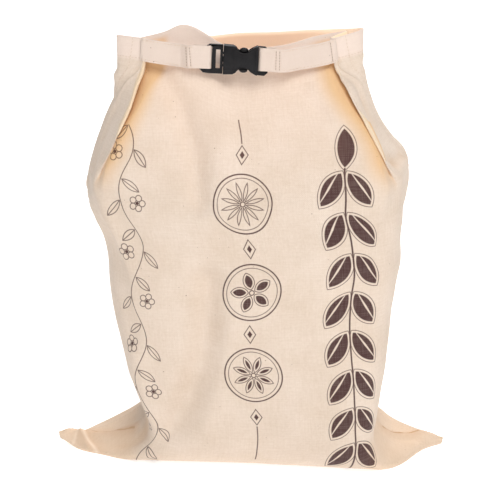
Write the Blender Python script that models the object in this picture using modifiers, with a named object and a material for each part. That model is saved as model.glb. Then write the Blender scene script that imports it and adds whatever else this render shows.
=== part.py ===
"""Cotton bread bag, standing, its mouth held round by a strap and a side release buckle.

Metres, +Z up. The origin is the middle of the flat base, the front of the bag faces -Y.
Tables are in millimetres. The body is one cut of canvas, folded at the bottom and sewn up
both sides. Its rings run from the bottom fold up to the mouth: out along the two flat ears,
up the walls, and into a pleat beside each seam where the strap pulls the seams forward.
"""
import math

import bmesh
import bpy
import numpy as np
from mathutils import Matrix, Vector

MM = 0.001

# Driving sizes
CLOTH = 1.3             # canvas
WEBBING = 1.4           # folded canvas strap, one layer
STRAP_WIDTH = 20.0
HEM_LEVEL = 396.0       # mean height of the mouth
TOUCH = 0.3             # gap left between the strap and the buckle bars
COLUMNS = (1, 2, 2, 3, 4, 3)     # cells between the anchors of half a panel

# One row for each height up the cloth, counted from the bottom fold.
# left, right: side edges. front, rear: faces. corner: radius in plan.
# front_z, fold_z, side_z: heights of the faces, of the ear's folded edge and of the seam.
BODY_COLUMNS = ("up", "left", "right", "front", "rear", "corner", "front_z", "fold_z", "side_z")
BODY = (
    (0, -184.0, 186.0, -1.5, 1.5, 1.4, 0.0, 2.9, 6.0),
    (10, -174.0, 176.0, -10.0, 10.0, 3.0, 0.0, 3.2, 9.5),
    (24, -160.0, 162.0, -23.0, 24.0, 3.4, 0.0, 3.6, 11.5),
    (38, -146.0, 149.0, -35.5, 38.0, 4.0, 0.0, 4.0, 13.0),
    (50, -133.5, 137.5, -46.0, 51.0, 5.5, 0.0, 5.0, 16.5),
    (58, -123.5, 130.0, -53.0, 60.0, 8.0, 1.6, 7.5, 21.5),
    (66, -113.5, 123.5, -60.5, 68.0, 12.0, 6.0, 12.0, 28.5),
    (75, -104.5, 118.5, -67.5, 75.0, 17.0, 13.5, 19.5, 36.0),
    (86, -99.5, 116.0, -73.0, 79.0, 22.0, 24.0, 29.5, 44.0),
    (100, -98.5, 116.5, -76.5, 82.0, 28.0, 37.5, 41.5, 52.5),
    (118, -102.0, 118.5, -78.0, 82.5, 33.0, 55.0, 57.0, 62.5),
    (140, -108.0, 121.5, -78.5, 81.0, 38.0, 76.3, 77.0, 79.0),
    (165, -115.0, 126.0, -78.5, 78.5, 44.0, 101.0, 101.0, 101.5),
    (186, -121.0, 128.0, -78.0, 76.5, 48.0, 122.0, 122.0, 122.0),
    (210, -126.0, 129.5, -77.5, 74.5, 52.0, 146.0, 146.0, 146.0),
    (234, -128.5, 133.5, -77.0, 72.5, 54.0, 170.0, 170.0, 170.0),
    (258, -129.5, 138.0, -76.0, 71.0, 55.0, 194.0, 194.0, 194.0),
    (280, -134.0, 138.5, -74.0, 68.0, 55.0, 216.0, 216.0, 216.0),
    (300, -142.5, 140.5, -71.0, 64.5, 52.0, 236.0, 236.0, 236.0),
    (318, -152.0, 143.0, -68.0, 61.0, 48.0, 254.0, 254.0, 254.0),
    (334, -148.0, 146.0, -64.5, 58.0, 44.0, 270.0, 270.0, 270.0),
    (350, -143.0, 143.5, -60.5, 55.0, 40.0, 286.0, 286.0, 286.0),
    (366, -138.5, 129.0, -56.0, 51.0, 37.0, 302.0, 302.0, 302.0),
    (384, -131.5, 117.0, -50.5, 46.5, 34.0, 320.0, 320.0, 320.0),
    (402, -124.5, 109.0, -45.0, 39.0, 31.0, 338.0, 338.0, 338.0),
    (420, -121.0, 104.0, -40.5, 29.0, 28.0, 356.0, 356.0, 356.0),
    (436, -119.0, 101.5, -37.0, 18.5, 26.0, 372.0, 372.0, 372.0),
    (460, -115.5, 98.0, -35.5, 5.0, 24.0, 396.0, 396.0, 396.0),
)

# The pleat beside each seam, in plan. The seam strip folds over at the ridge, runs in to the
# valley, and comes out again to the shoulder, where the front face begins.
PLEAT_COLUMNS = ("up", "wrap_x", "wrap_y", "seam_x", "seam_y", "ridge_x", "ridge_y",
                 "valley_x", "valley_y", "shoulder_x", "shoulder_y")
PLEAT_LEFT = (
    (334, -148.0, 10.0, -147.0, -4.0, -139.0, -38.0, -134.0, -45.0, -129.0, -53.0),
    (350, -143.0, 6.0, -142.0, -6.0, -130.0, -46.0, -127.0, -43.5, -125.5, -54.0),
    (366, -138.0, 3.0, -136.5, -10.0, -121.5, -50.5, -119.8, -41.5, -117.5, -54.5),
    (384, -131.0, -3.0, -129.5, -14.0, -113.0, -50.5, -114.0, -37.0, -107.0, -52.5),
    (402, -123.5, -9.0, -121.5, -22.0, -104.0, -48.5, -108.5, -31.0, -95.5, -48.5),
    (420, -119.0, -21.0, -110.5, -32.0, -97.5, -45.5, -105.0, -27.0, -85.0, -44.0),
    (436, -115.5, -29.0, -95.5, -40.0, -91.0, -41.0, -104.0, -26.5, -76.5, -36.5),
    (460, -112.0, -31.0, -93.0, -40.0, -88.5, -39.5, -103.0, -29.5, -75.0, -26.0),
)
PLEAT_RIGHT = (
    (334, 146.0, 10.0, 145.0, -4.0, 133.0, -41.0, 127.0, -48.0, 120.0, -58.0),
    (350, 143.5, 6.0, 142.5, -7.0, 121.5, -51.0, 117.5, -46.0, 114.0, -60.0),
    (366, 129.5, 4.0, 128.0, -8.0, 113.5, -56.0, 111.5, -45.0, 109.0, -60.0),
    (384, 116.5, -2.0, 115.5, -14.0, 103.5, -54.0, 104.8, -41.0, 99.5, -56.5),
    (402, 108.0, -10.0, 106.5, -21.0, 92.3, -50.5, 97.0, -34.0, 83.5, -51.0),
    (420, 101.5, -21.0, 97.5, -31.0, 83.0, -47.0, 91.0, -27.0, 70.5, -45.5),
    (436, 98.0, -29.5, 77.5, -40.0, 73.0, -41.5, 88.0, -21.0, 65.0, -38.0),
    (460, 93.5, -31.0, 73.0, -40.0, 68.5, -39.5, 85.0, -17.0, 58.0, -22.0),
)
PLEAT_DIES = (290.0, 336.0)      # heights up the cloth between which the pleats fade in

# Heights of the mouth's edge at each anchor, in the order of the ring.
MOUTH_FRONT = (399.5, 399.3, 399.0, 396.0, 402.5, 408.5, 389.0, 392.0, 398.5, 402.0, 399.5,
               399.5, 399.5)
MOUTH_REAR = (399.5, 404.0, 404.7, 402.3, 400.0, 397.8, 395.5, 392.0, 392.0, 395.0, 400.0,
              400.3, 399.5)
MOUTH_FRONT_X = (-58.0, -10.0, 26.0)      # hump, middle and right quarter of the front hem
MOUTH_FRONT_Y = (-25.0, -36.0, -35.5)
# Where the rear's corners lie at the mouth, drawn in towards the front: fold, behind it, further in.
PINCH_LEFT = ((-115.5, -27.5), (-106.0, -20.5), (-84.0, -9.0))
PINCH_RIGHT = ((98.5, -20.0), (92.5, -7.0), (76.0, 3.0))
PINCH_STARTS = (366.0, 458.0)
MOUTH_STARTS = (350.0, 440.0)    # heights up the cloth between which the edge's lift fades in
HEM_STARTS = (425.0, 460.0)
CROWN = 5.0             # how far the middle of a face stands out past its shoulders
FOOT = (66.0, 140.0)    # heights up the cloth between which that comes in
SEAM_DIP = 0.28         # share of the ear fold's height in the point next to the seam

EAR_FORWARD = 8.0       # how far the ears' tips lean to the front
EAR_ROOT = 128.0        # distance from the middle where they begin to
EAR_TIP = 184.0
FRONT_SKEW = (7.0, 14.0)   # foot of the front: set back on the left, further out on the right
SKEW_HALF = 120.0
SKEW_FADES = 190.0      # height where that is gone

# Soft troughs pressed into the front, each from one point to the other.
TROUGH_COLUMNS = ("x0", "z0", "x1", "z1", "width", "depth")
TROUGHS = (
    (-48.0, 150.0, -70.0, 84.0, 17.0, 6.0),
    (-70.0, 84.0, -104.0, 22.0, 15.0, 9.0),
    (-70.0, 345.0, -56.0, 262.0, 17.0, 4.0),
    (20.0, 362.0, 52.0, 345.0, 12.0, 2.5),
)

# Buckle, in its own plane: along runs left to right, up is across the strap.
BUCKLE_AT = (-14.0, -48.2, 382.6)
BUCKLE_TILT = 2.6                # degrees, right end down
BUCKLE_HALF = 12.6               # half its width across the strap
PLUG_SPAN = (-29.0, -9.3)        # the plug's frame
SOCKET_SPAN = (-8.9, 21.2)       # the socket's body
TAIL_END = 29.6                  # outer edge of the socket's strap bar
BUCKLE_DEPTH = 8.4
FRAME_DEPTH = 3.2
BAR_DEPTH = 2.2
STRAP_RISE = 1.3                 # the straps sit this far above the buckle's middle
STRAP_SLOT = (-9.1, 11.7)        # slots that the straps pass through, across the strap
SPARE_SLOT = (-8.2, 8.2)
WINDOW_AT = (8.6, 13.6)          # centre of the release window: along, up
WINDOW_SIZE = (6.4, 8.0)
CAVITY = 2.4                     # half depth of the socket's hollow
TURN_STEPS = 8                   # cells of a strap round its bar
LEVELLED = (31.0, 50.0)          # distances from the buckle between which a strap turns level

# Centre line of the two straps: x, y, z of points from the seam to the buckle.
STRAP_LEFT = ((-92.5, -42.3, 390.0), (-76.0, -43.4, 387.4), (-60.0, -45.2, 385.4))
STRAP_RIGHT = ((72.5, -42.3, 388.6), (62.0, -43.6, 386.2), (44.0, -45.0, 383.2))


def column(table, names, name):
    """One named column of a table."""
    place = names.index(name)
    return [row[place] for row in table]


def smooth(knots, values, at):
    """A curve through the values that never swings past them, read at the given places."""
    knots = np.asarray(knots, float)
    values = np.asarray(values, float).reshape(len(knots), -1)
    gap = np.diff(knots)[:, None]
    slope = np.diff(values, axis=0) / gap
    before, after = slope[:-1], slope[1:]
    same_way = before * after > 0
    total = np.where(same_way, before + after, 1.0)
    tangent = np.zeros_like(values)
    tangent[1:-1] = np.where(same_way, 2.0 * before * after / total, 0.0)
    tangent[0], tangent[-1] = slope[0], slope[-1]
    at = np.asarray(at, float)
    cell = np.clip(np.searchsorted(knots, at, side="right") - 1, 0, len(gap) - 1)
    span = gap[cell]
    u = (at[:, None] - knots[cell][:, None]) / span
    return ((2 * u ** 3 - 3 * u ** 2 + 1) * values[cell] + (3 * u ** 2 - 2 * u ** 3) * values[cell + 1]
            + (u ** 3 - 2 * u ** 2 + u) * span * tangent[cell] + (u ** 3 - u ** 2) * span * tangent[cell + 1])


def ease(low, high, value):
    """0 below low, 1 above high, and a smooth step between."""
    u = min(max((value - low) / (high - low), 0.0), 1.0)
    return u * u * (3.0 - 2.0 * u)


def read(table, names, up):
    """A table's row at any height, by name."""
    knots = column(table, names, "up")
    rows = [row[1:] for row in table]
    values = smooth(knots, rows, [min(max(up, knots[0]), knots[-1])])[0]
    return dict(zip(names[1:], values))


def corner(side, face, radius, middle):
    """Side, arc start, arc middle and arc end of a rounded corner in plan."""
    inward = math.copysign(1.0, -side)
    back = math.copysign(1.0, -face)
    bite = radius * (1.0 - math.sqrt(0.5))
    return [(side, middle + 0.5 * (face + back * radius - middle)), (side, face + back * radius),
            (side + inward * bite, face + back * bite), (side + inward * radius, face)]


def ring_anchors(up):
    """Front and rear anchors of the ring at one height up the cloth, seam to seam."""
    body = read(BODY, BODY_COLUMNS, up)
    pleated = ease(PLEAT_DIES[0], PLEAT_DIES[1], up)
    lift = ease(MOUTH_STARTS[0], MOUTH_STARTS[1], up)
    pinched = ease(PINCH_STARTS[0], PINCH_STARTS[1], up)
    halves = {}
    for side_name, table in (("left", PLEAT_LEFT), ("right", PLEAT_RIGHT)):
        side = body[side_name]
        front = [(side, 0.0)] + corner(side, body["front"], body["corner"], 0.0)
        rear = [(side, 0.0)] + corner(side, body["rear"], body["corner"], 0.0)
        pleat = read(table, PLEAT_COLUMNS, up)
        seam, ridge, valley, shoulder, wrap = [
            np.array((pleat[name + "_x"], pleat[name + "_y"]))
            for name in ("seam", "ridge", "valley", "shoulder", "wrap")]
        folded = [seam, 0.5 * (seam + ridge), ridge, valley, shoulder]
        front = [np.array(a) * (1 - pleated) + b * pleated for a, b in zip(front, folded)]
        rear = [np.array(point) for point in rear]
        rear[0] = front[0]
        rear[1] = rear[1] * (1 - pleated) + wrap * pleated
        pinch = PINCH_LEFT if side_name == "left" else PINCH_RIGHT
        for place, drawn_in in zip((2, 3, 4), pinch):
            rear[place] = rear[place] * (1 - pinched) + np.array(drawn_in) * pinched
        halves[side_name] = (front, rear)
    crown = CROWN * ease(FOOT[0], FOOT[1], up)
    heights = {"face": body["front_z"], "fold": body["fold_z"], "side": body["side_z"]}
    level = [heights["side"], SEAM_DIP * heights["fold"] + (1 - SEAM_DIP) * heights["side"],
             heights["fold"],
             0.5 * (heights["fold"] + heights["face"]), heights["face"], heights["face"]]

    ring = []
    for which, face in ((0, body["front"]), (1, body["rear"])):
        left, right = halves["left"][which], halves["right"][which]
        outward = math.copysign(1.0, face)
        ends = (left[4], right[4])
        if which == 0:
            middle_x = [0.5 * ends[0][0] + 0.05 * ends[1][0], 0.5 * (ends[0][0] + ends[1][0]),
                        0.5 * ends[1][0] + 0.05 * ends[0][0]]
            middle_x = [x * (1 - lift) + top * lift for x, top in zip(middle_x, MOUTH_FRONT_X)]
        else:
            middle_x = [0.5 * ends[0][0], 0.5 * (ends[0][0] + ends[1][0]), 0.5 * ends[1][0]]
        middle_y = [face + outward * 0.6 * crown, face + outward * crown, face + outward * 0.6 * crown]
        if which == 0:
            hem = ease(HEM_STARTS[0], HEM_STARTS[1], up)
            middle_y = [y * (1 - hem) + top * hem for y, top in zip(middle_y, MOUTH_FRONT_Y)]
        points = list(left) + [np.array(p) for p in zip(middle_x, middle_y)] + list(right[::-1])
        levels = level[:5] + [level[5]] * 3 + level[:5][::-1]
        edge = MOUTH_FRONT if which == 0 else MOUTH_REAR[::-1]
        full = [(p[0], p[1], z + lift * (top - HEM_LEVEL))
                for p, z, top in zip(points, levels, edge)]
        ring.append(full)
    return ring


def ring_points(up, columns):
    """Points of one panel's ring half, front and rear, each from the left seam to the right."""
    counts = list(columns) + list(columns[::-1])
    halves = []
    for anchors in ring_anchors(up):
        anchors = np.array(anchors)
        steps = np.maximum(np.linalg.norm(np.diff(anchors, axis=0), axis=1), 0.05)
        knots = np.concatenate(([0.0], np.cumsum(steps)))
        places = [knots[0]]
        for low, high, count in zip(knots[:-1], knots[1:], counts):
            places += [low + (high - low) * (k + 1) / count for k in range(count)]
        halves.append(smooth(knots, anchors, places))
    return halves


def leaned(point):
    """A point with the ears' lean and the skewed foot of the front."""
    x, y, z = point
    past = max(abs(x) - EAR_ROOT, 0.0) / (EAR_TIP - EAR_ROOT)
    y -= EAR_FORWARD * past * (1.0 - ease(20.0, 60.0, z))
    if y < -20.0:
        share = ease(-20.0, -46.0, y) * (1.0 - ease(0.0, SKEW_FADES, z))
        skew = FRONT_SKEW[0] if x < 0.0 else FRONT_SKEW[1]
        y -= skew * min(max(x / SKEW_HALF, -1.0), 1.0) * share
    return (x, y, z)


def pressed(point):
    """A front point with the soft troughs pressed in."""
    x, y, z = point
    push = 0.0
    for x0, z0, x1, z1, width, depth in TROUGHS:
        run = (x1 - x0) ** 2 + (z1 - z0) ** 2
        along = ((x - x0) * (x1 - x0) + (z - z0) * (z1 - z0)) / run
        near = min(max(along, 0.0), 1.0)
        away = math.hypot(x - x0 - near * (x1 - x0), z - z0 - near * (z1 - z0))
        push += depth * math.exp(-(away / width) ** 2)
    reach = ease(8.0, 45.0, z) * ease(-20.0, -50.0, y) if y < -20.0 else 0.0
    return (x, y + push * reach, z)


def row_heights():
    """Heights up the cloth where the solid's rings lie, closer where the cloth turns."""
    knots = column(BODY, BODY_COLUMNS, "up")
    extra = [5.0, 17.0, 31.0, 44.0, 54.0, 62.0, 448.0]
    return sorted(knots + extra)


def material(name, colour, roughness):
    made = bpy.data.materials.new(name)
    made.use_nodes = True
    shader = made.node_tree.nodes["Principled BSDF"]
    shader.inputs["Base Color"].default_value = (*colour, 1.0)
    shader.inputs["Roughness"].default_value = roughness
    shader.inputs["Metallic"].default_value = 0.0
    return made


def place(name, mesh, collection, finish):
    made = bpy.data.objects.new(name, mesh)
    mesh.materials.append(finish)
    collection.objects.link(made)
    return made


def add_solidify(made, thickness, offset):
    wall = made.modifiers.new("cloth thickness", "SOLIDIFY")
    wall.thickness = thickness * MM
    wall.offset = offset
    wall.use_rim = True
    return wall


def build_body(collection, finish):
    """The canvas body: rings joined into one sheet, closed along the bottom fold."""
    shape = bmesh.new()
    rings = []
    for up in row_heights():
        front, rear = ring_points(up, COLUMNS)
        front = [pressed(leaned(p)) for p in front]
        rear = [leaned(p) for p in rear]
        loop = [Vector(p) * MM for p in front] + [Vector(p) * MM for p in rear[-2:0:-1]]
        rings.append([shape.verts.new(p) for p in loop])
    total = len(rings[0])
    for low, high in zip(rings[:-1], rings[1:]):
        for k in range(total):
            after = (k + 1) % total
            shape.faces.new((low[k], low[after], high[after], high[k]))
    bottom = rings[0]
    last = total // 2
    shape.faces.new((bottom[0], bottom[total - 1], bottom[1]))
    for k in range(1, last - 1):
        shape.faces.new((bottom[k], bottom[total - k], bottom[total - k - 1], bottom[k + 1]))
    shape.faces.new((bottom[last - 1], bottom[last + 1], bottom[last]))
    bmesh.ops.recalc_face_normals(shape, faces=shape.faces[:])
    mesh = bpy.data.meshes.new("bag_body")
    shape.to_mesh(mesh)
    shape.free()
    mesh.shade_smooth()
    made = place("bag_body", mesh, collection, finish)
    add_solidify(made, CLOTH, -1.0)
    return made


def turned(points, tilt):
    """Buckle points from their own plane to the bag's frame."""
    turn = Matrix.Rotation(math.radians(tilt), 3, "Y")
    return [turn @ Vector(p) + Vector(BUCKLE_AT) for p in points]


def build_strap(name, seam_points, turn_at, fold_end, collection, finish):
    """A canvas strap, seam to buckle bar, round the bar and back behind itself."""
    tilt = math.radians(BUCKLE_TILT)
    toward = 1.0 if turn_at > fold_end else -1.0
    layer = 0.5 * WEBBING
    bar_half = 0.5 * BAR_DEPTH + TOUCH + layer
    path = [Vector(p) for p in seam_points]
    front_start = Vector(turned([(fold_end, -bar_half, 0.0)], BUCKLE_TILT)[0])
    path.append(front_start)
    for k in range(TURN_STEPS + 1):
        angle = math.pi * k / TURN_STEPS
        out = turn_at - toward * bar_half + toward * bar_half * math.sin(angle)
        path.append(turned([(out, -bar_half * math.cos(angle), 0.0)], BUCKLE_TILT)[0])
    path.append(turned([(fold_end + toward * 4.0, bar_half, 0.0)], BUCKLE_TILT)[0])
    lead = path[len(seam_points) - 1]
    behind = Vector((lead.x + toward * 3.0, lead.y + 2.0 * layer + 0.6, lead.z))
    path.append(behind)

    shape = bmesh.new()
    up = Vector((math.sin(tilt), 0.0, math.cos(tilt)))
    across = []
    for point in path:
        near_buckle = 1.0 - ease(LEVELLED[0], LEVELLED[1], abs(point.x - BUCKLE_AT[0]))
        edge = (Vector((0.0, 0.0, 1.0)) * (1 - near_buckle) + up * near_buckle) * 0.5 * STRAP_WIDTH
        point = point + up * STRAP_RISE * near_buckle
        across.append((shape.verts.new((point - edge) * MM), shape.verts.new((point + edge) * MM)))
    for low, high in zip(across[:-1], across[1:]):
        shape.faces.new((low[0], high[0], high[1], low[1]))
    mesh = bpy.data.meshes.new(name)
    shape.to_mesh(mesh)
    shape.free()
    made = place(name, mesh, collection, finish)
    add_solidify(made, WEBBING, 0.0)
    return made


def slab(name, outline, low_y, high_y, collection):
    """A plate of the given outline (along, up), between two depths, in the buckle's place."""
    shape = bmesh.new()
    front = [shape.verts.new(p * MM) for p in turned([(a, low_y, u) for a, u in outline], BUCKLE_TILT)]
    face = shape.faces.new(front)
    grown = bmesh.ops.extrude_face_region(shape, geom=[face])
    deep = Matrix.Rotation(math.radians(BUCKLE_TILT), 3, "Y") @ Vector((0.0, high_y - low_y, 0.0))
    moved = [item for item in grown["geom"] if isinstance(item, bmesh.types.BMVert)]
    bmesh.ops.translate(shape, verts=moved, vec=deep * MM)
    bmesh.ops.recalc_face_normals(shape, faces=shape.faces[:])
    mesh = bpy.data.meshes.new(name)
    shape.to_mesh(mesh)
    shape.free()
    made = bpy.data.objects.new(name, mesh)
    collection.objects.link(made)
    return made


def hide_tool(made):
    made.hide_render = True
    made.display_type = "WIRE"


def combine(made, other, operation):
    step = made.modifiers.new(operation.lower(), "BOOLEAN")
    step.operation = operation
    step.solver = "EXACT"
    step.object = other
    hide_tool(other)


def arc(centre, radii, start, end, steps):
    """Points on an ellipse in the buckle's plane, angles in degrees."""
    points = []
    for k in range(steps + 1):
        angle = math.radians(start + (end - start) * k / steps)
        points.append((centre[0] + radii[0] * math.cos(angle), centre[1] + radii[1] * math.sin(angle)))
    return points


def box_outline(left, right, low, high):
    return [(left, low), (right, low), (right, high), (left, high)]


def build_socket(collection, tools, finish):
    """The socket half: a hollow body with a window each side, and a bar for the strap."""
    half = BUCKLE_HALF
    left, right = SOCKET_SPAN
    upper = [(left, half), (left + 8.0, half - 0.4), (left + 9.8, half - 1.2)]
    upper += arc(WINDOW_AT, (WINDOW_SIZE[0] + 1.0, WINDOW_SIZE[1] - 1.2), 205, 325, 6)
    upper += [(right - 2.0, half - 0.4), (right + 0.5, half)]
    low_tail = [(TAIL_END, 2.4 - half), (TAIL_END - 3.0, -half - 0.4)]
    outline = upper + [(TAIL_END - 3.0, half - 0.3), (TAIL_END, half - 3.0)]
    outline += low_tail + [(a, -u) for a, u in reversed(upper)]
    made = slab("buckle_socket", outline, -0.5 * BUCKLE_DEPTH, 0.5 * BUCKLE_DEPTH, collection)
    made.data.materials.append(finish)

    hollow = slab("socket hollow", box_outline(left - 1.0, right - 2.2, 2.0 - half, half - 2.0),
                  -CAVITY, CAVITY, tools)
    combine(made, hollow, "DIFFERENCE")
    for side in (1.0, -1.0):
        points = [(a, side * u) for a, u in arc(WINDOW_AT, WINDOW_SIZE, 180, 360, 8)]
        window = slab("socket window", points, -0.5 * BUCKLE_DEPTH - 1.0, 0.5 * BUCKLE_DEPTH - 1.4, tools)
        combine(made, window, "DIFFERENCE")
    slot = slab("socket slot", box_outline(right, right + 3.4, STRAP_SLOT[0], STRAP_SLOT[1]),
                -BUCKLE_DEPTH, BUCKLE_DEPTH, tools)
    combine(made, slot, "DIFFERENCE")
    thin_tail = slab("tail relief", box_outline(right - 0.6, TAIL_END + 2.0, -half - 2.0, half + 2.0),
                     -BUCKLE_DEPTH, -0.5 * BAR_DEPTH, tools)
    thin_back = slab("tail back", box_outline(right - 0.6, TAIL_END + 2.0, -half - 2.0, half + 2.0),
                     0.5 * BAR_DEPTH, BUCKLE_DEPTH, tools)
    combine(made, thin_tail, "DIFFERENCE")
    combine(made, thin_back, "DIFFERENCE")
    return made


def build_plug(collection, tools, finish):
    """The plug half: a two slot frame with a guide tongue and two sprung prongs."""
    half = BUCKLE_HALF
    left, right = PLUG_SPAN
    wing = [(left, half - 3.4), (left + 3.0, half - 0.6), (left + 8.0, half)]
    outline = wing + [(right, half)]
    outline += [(a, -u) for a, u in reversed(outline)]
    made = slab("buckle_plug", outline, -0.5 * FRAME_DEPTH, 0.5 * FRAME_DEPTH, collection)
    made.data.materials.append(finish)

    strap_slot = box_outline(left + 6.5, left + 10.2, STRAP_SLOT[0], STRAP_SLOT[1])
    spare_slot = box_outline(left + 13.7, left + 17.4, SPARE_SLOT[0], SPARE_SLOT[1])
    for outline in (strap_slot, spare_slot):
        combine(made, slab("plug slot", outline, -FRAME_DEPTH, FRAME_DEPTH, tools), "DIFFERENCE")
    for low, high in ((-FRAME_DEPTH, -0.5 * BAR_DEPTH), (0.5 * BAR_DEPTH, FRAME_DEPTH)):
        worn = box_outline(left - 1.0, left + 8.0, STRAP_SLOT[0] - 0.2, STRAP_SLOT[1] + 0.2)
        relief = slab("bar relief", worn, low, high, tools)
        combine(made, relief, "DIFFERENCE")

    inner = SOCKET_SPAN[1] - 3.4
    tongue = slab("plug tongue", box_outline(right - 1.2, inner, -2.2, 2.2), -1.1, 1.1, tools)
    combine(made, tongue, "UNION")
    for side in (1.0, -1.0):
        arm = [(right - 1.0, 6.2), (WINDOW_AT[0] - 5.5, 6.4), (WINDOW_AT[0] - 3.0, 9.6),
               (WINDOW_AT[0] + 2.6, 8.6), (inner, 4.2), (inner - 1.4, 3.4),
               (WINDOW_AT[0] + 1.0, 6.0), (WINDOW_AT[0] - 4.4, 4.6), (right - 1.0, 4.4)]
        prong = slab("plug prong", [(a, side * u) for a, u in arm], -1.7, 1.7, tools)
        combine(made, prong, "UNION")
    return made


def build():
    for old in list(bpy.data.objects):
        bpy.data.objects.remove(old)
    parts = bpy.data.collections.new("bread_bag")
    tools = bpy.data.collections.new("cutters")
    bpy.context.scene.collection.children.link(parts)
    bpy.context.scene.collection.children.link(tools)
    canvas = material("natural cotton canvas", (0.80, 0.66, 0.53), 0.9)
    plastic = material("black acetal", (0.012, 0.010, 0.011), 0.45)
    build_body(parts, canvas)
    build_strap("strap_left", STRAP_LEFT, PLUG_SPAN[0] + 9.4, PLUG_SPAN[0] - 9.0, parts, canvas)
    build_strap("strap_right", STRAP_RIGHT, SOCKET_SPAN[1] + 0.8, TAIL_END + 9.0, parts, canvas)
    build_plug(parts, tools, plastic)
    build_socket(parts, tools, plastic)


build()
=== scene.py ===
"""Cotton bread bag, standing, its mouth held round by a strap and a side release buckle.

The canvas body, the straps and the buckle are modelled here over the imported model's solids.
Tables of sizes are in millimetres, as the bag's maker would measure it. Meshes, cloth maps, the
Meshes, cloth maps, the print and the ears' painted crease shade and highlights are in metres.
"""
import math

import bmesh
import bpy
import numpy as np
from mathutils import Matrix, Vector, noise


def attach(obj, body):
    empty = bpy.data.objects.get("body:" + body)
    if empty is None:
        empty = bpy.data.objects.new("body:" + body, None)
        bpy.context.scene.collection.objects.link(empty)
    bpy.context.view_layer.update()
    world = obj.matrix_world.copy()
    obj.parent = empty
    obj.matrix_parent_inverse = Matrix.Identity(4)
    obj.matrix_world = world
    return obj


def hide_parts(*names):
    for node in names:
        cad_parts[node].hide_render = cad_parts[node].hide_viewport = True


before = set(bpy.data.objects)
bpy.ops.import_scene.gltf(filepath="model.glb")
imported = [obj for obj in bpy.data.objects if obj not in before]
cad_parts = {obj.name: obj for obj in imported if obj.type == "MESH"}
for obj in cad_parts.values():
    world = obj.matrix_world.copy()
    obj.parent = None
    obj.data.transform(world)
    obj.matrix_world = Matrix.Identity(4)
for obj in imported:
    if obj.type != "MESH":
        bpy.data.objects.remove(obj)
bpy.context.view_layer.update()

MM = 0.001

# Canvas body
CANVAS = 0.8            # cloth thickness
HEM_BACK = 1.7          # how far inside the mouth's turned-in layer lies
HEM_DEPTH = 20.0
HEM_LEVEL = 396.0       # mean height of the mouth
MOUTH_UP = 460.0        # height up the cloth of the mouth's edge
COLUMNS = (5, 7, 9, 9, 13, 13)   # cells between the anchors of half a panel
ROW_STEP = 2.9          # cloth between two rows of the grid

BODY_COLUMNS = ("up", "left", "right", "front", "rear", "corner", "front_z", "fold_z", "side_z")
BODY_ROWS = (
    (0, -184.0, 186.0, -1.5, 1.5, 1.4, 0.0, 2.9, 6.0),
    (10, -174.0, 176.0, -10.0, 10.0, 3.0, 0.0, 3.2, 9.5),
    (24, -160.0, 162.0, -23.0, 24.0, 3.4, 0.0, 3.6, 11.5),
    (38, -146.0, 149.0, -35.5, 38.0, 4.0, 0.0, 4.0, 13.0),
    (50, -133.5, 137.5, -46.0, 51.0, 5.5, 0.0, 5.0, 16.5),
    (58, -123.5, 130.0, -53.0, 60.0, 8.0, 1.6, 7.5, 21.5),
    (66, -113.5, 123.5, -60.5, 68.0, 12.0, 6.0, 12.0, 28.5),
    (75, -104.5, 118.5, -67.5, 75.0, 17.0, 13.5, 19.5, 36.0),
    (86, -99.5, 116.0, -73.0, 79.0, 22.0, 24.0, 29.5, 44.0),
    (100, -98.5, 116.5, -76.5, 82.0, 28.0, 37.5, 41.5, 52.5),
    (118, -102.0, 118.5, -78.0, 82.5, 33.0, 55.0, 57.0, 62.5),
    (140, -108.0, 121.5, -78.5, 81.0, 38.0, 76.3, 77.0, 79.0),
    (165, -115.0, 126.0, -78.5, 78.5, 44.0, 101.0, 101.0, 101.5),
    (186, -121.0, 128.0, -78.0, 76.5, 48.0),
    (210, -126.0, 129.5, -77.5, 74.5, 52.0),
    (234, -128.5, 133.5, -77.0, 72.5, 54.0),
    (258, -129.5, 138.0, -76.0, 71.0, 55.0),
    (280, -134.0, 138.5, -74.0, 68.0, 55.0),
    (300, -142.5, 140.5, -71.0, 64.5, 52.0),
    (318, -152.0, 143.0, -68.0, 61.0, 48.0),
    (334, -148.0, 146.0, -64.5, 58.0, 44.0),
    (350, -143.0, 143.5, -60.5, 55.0, 40.0),
    (366, -138.5, 129.0, -56.0, 51.0, 37.0),
    (384, -131.5, 117.0, -50.5, 46.5, 34.0),
    (402, -124.5, 109.0, -45.0, 39.0, 31.0),
    (420, -121.0, 104.0, -40.5, 29.0, 28.0),
    (436, -119.0, 101.5, -37.0, 18.5, 26.0),
    (460, -115.5, 98.0, -35.5, 5.0, 24.0),
)
# The rows without heights stand straight, this far below their run up the cloth
UPRIGHT = 64.0
BODY = [row if len(row) == len(BODY_COLUMNS) else (*row, *[row[0] - UPRIGHT] * 3) for row in BODY_ROWS]

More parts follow.
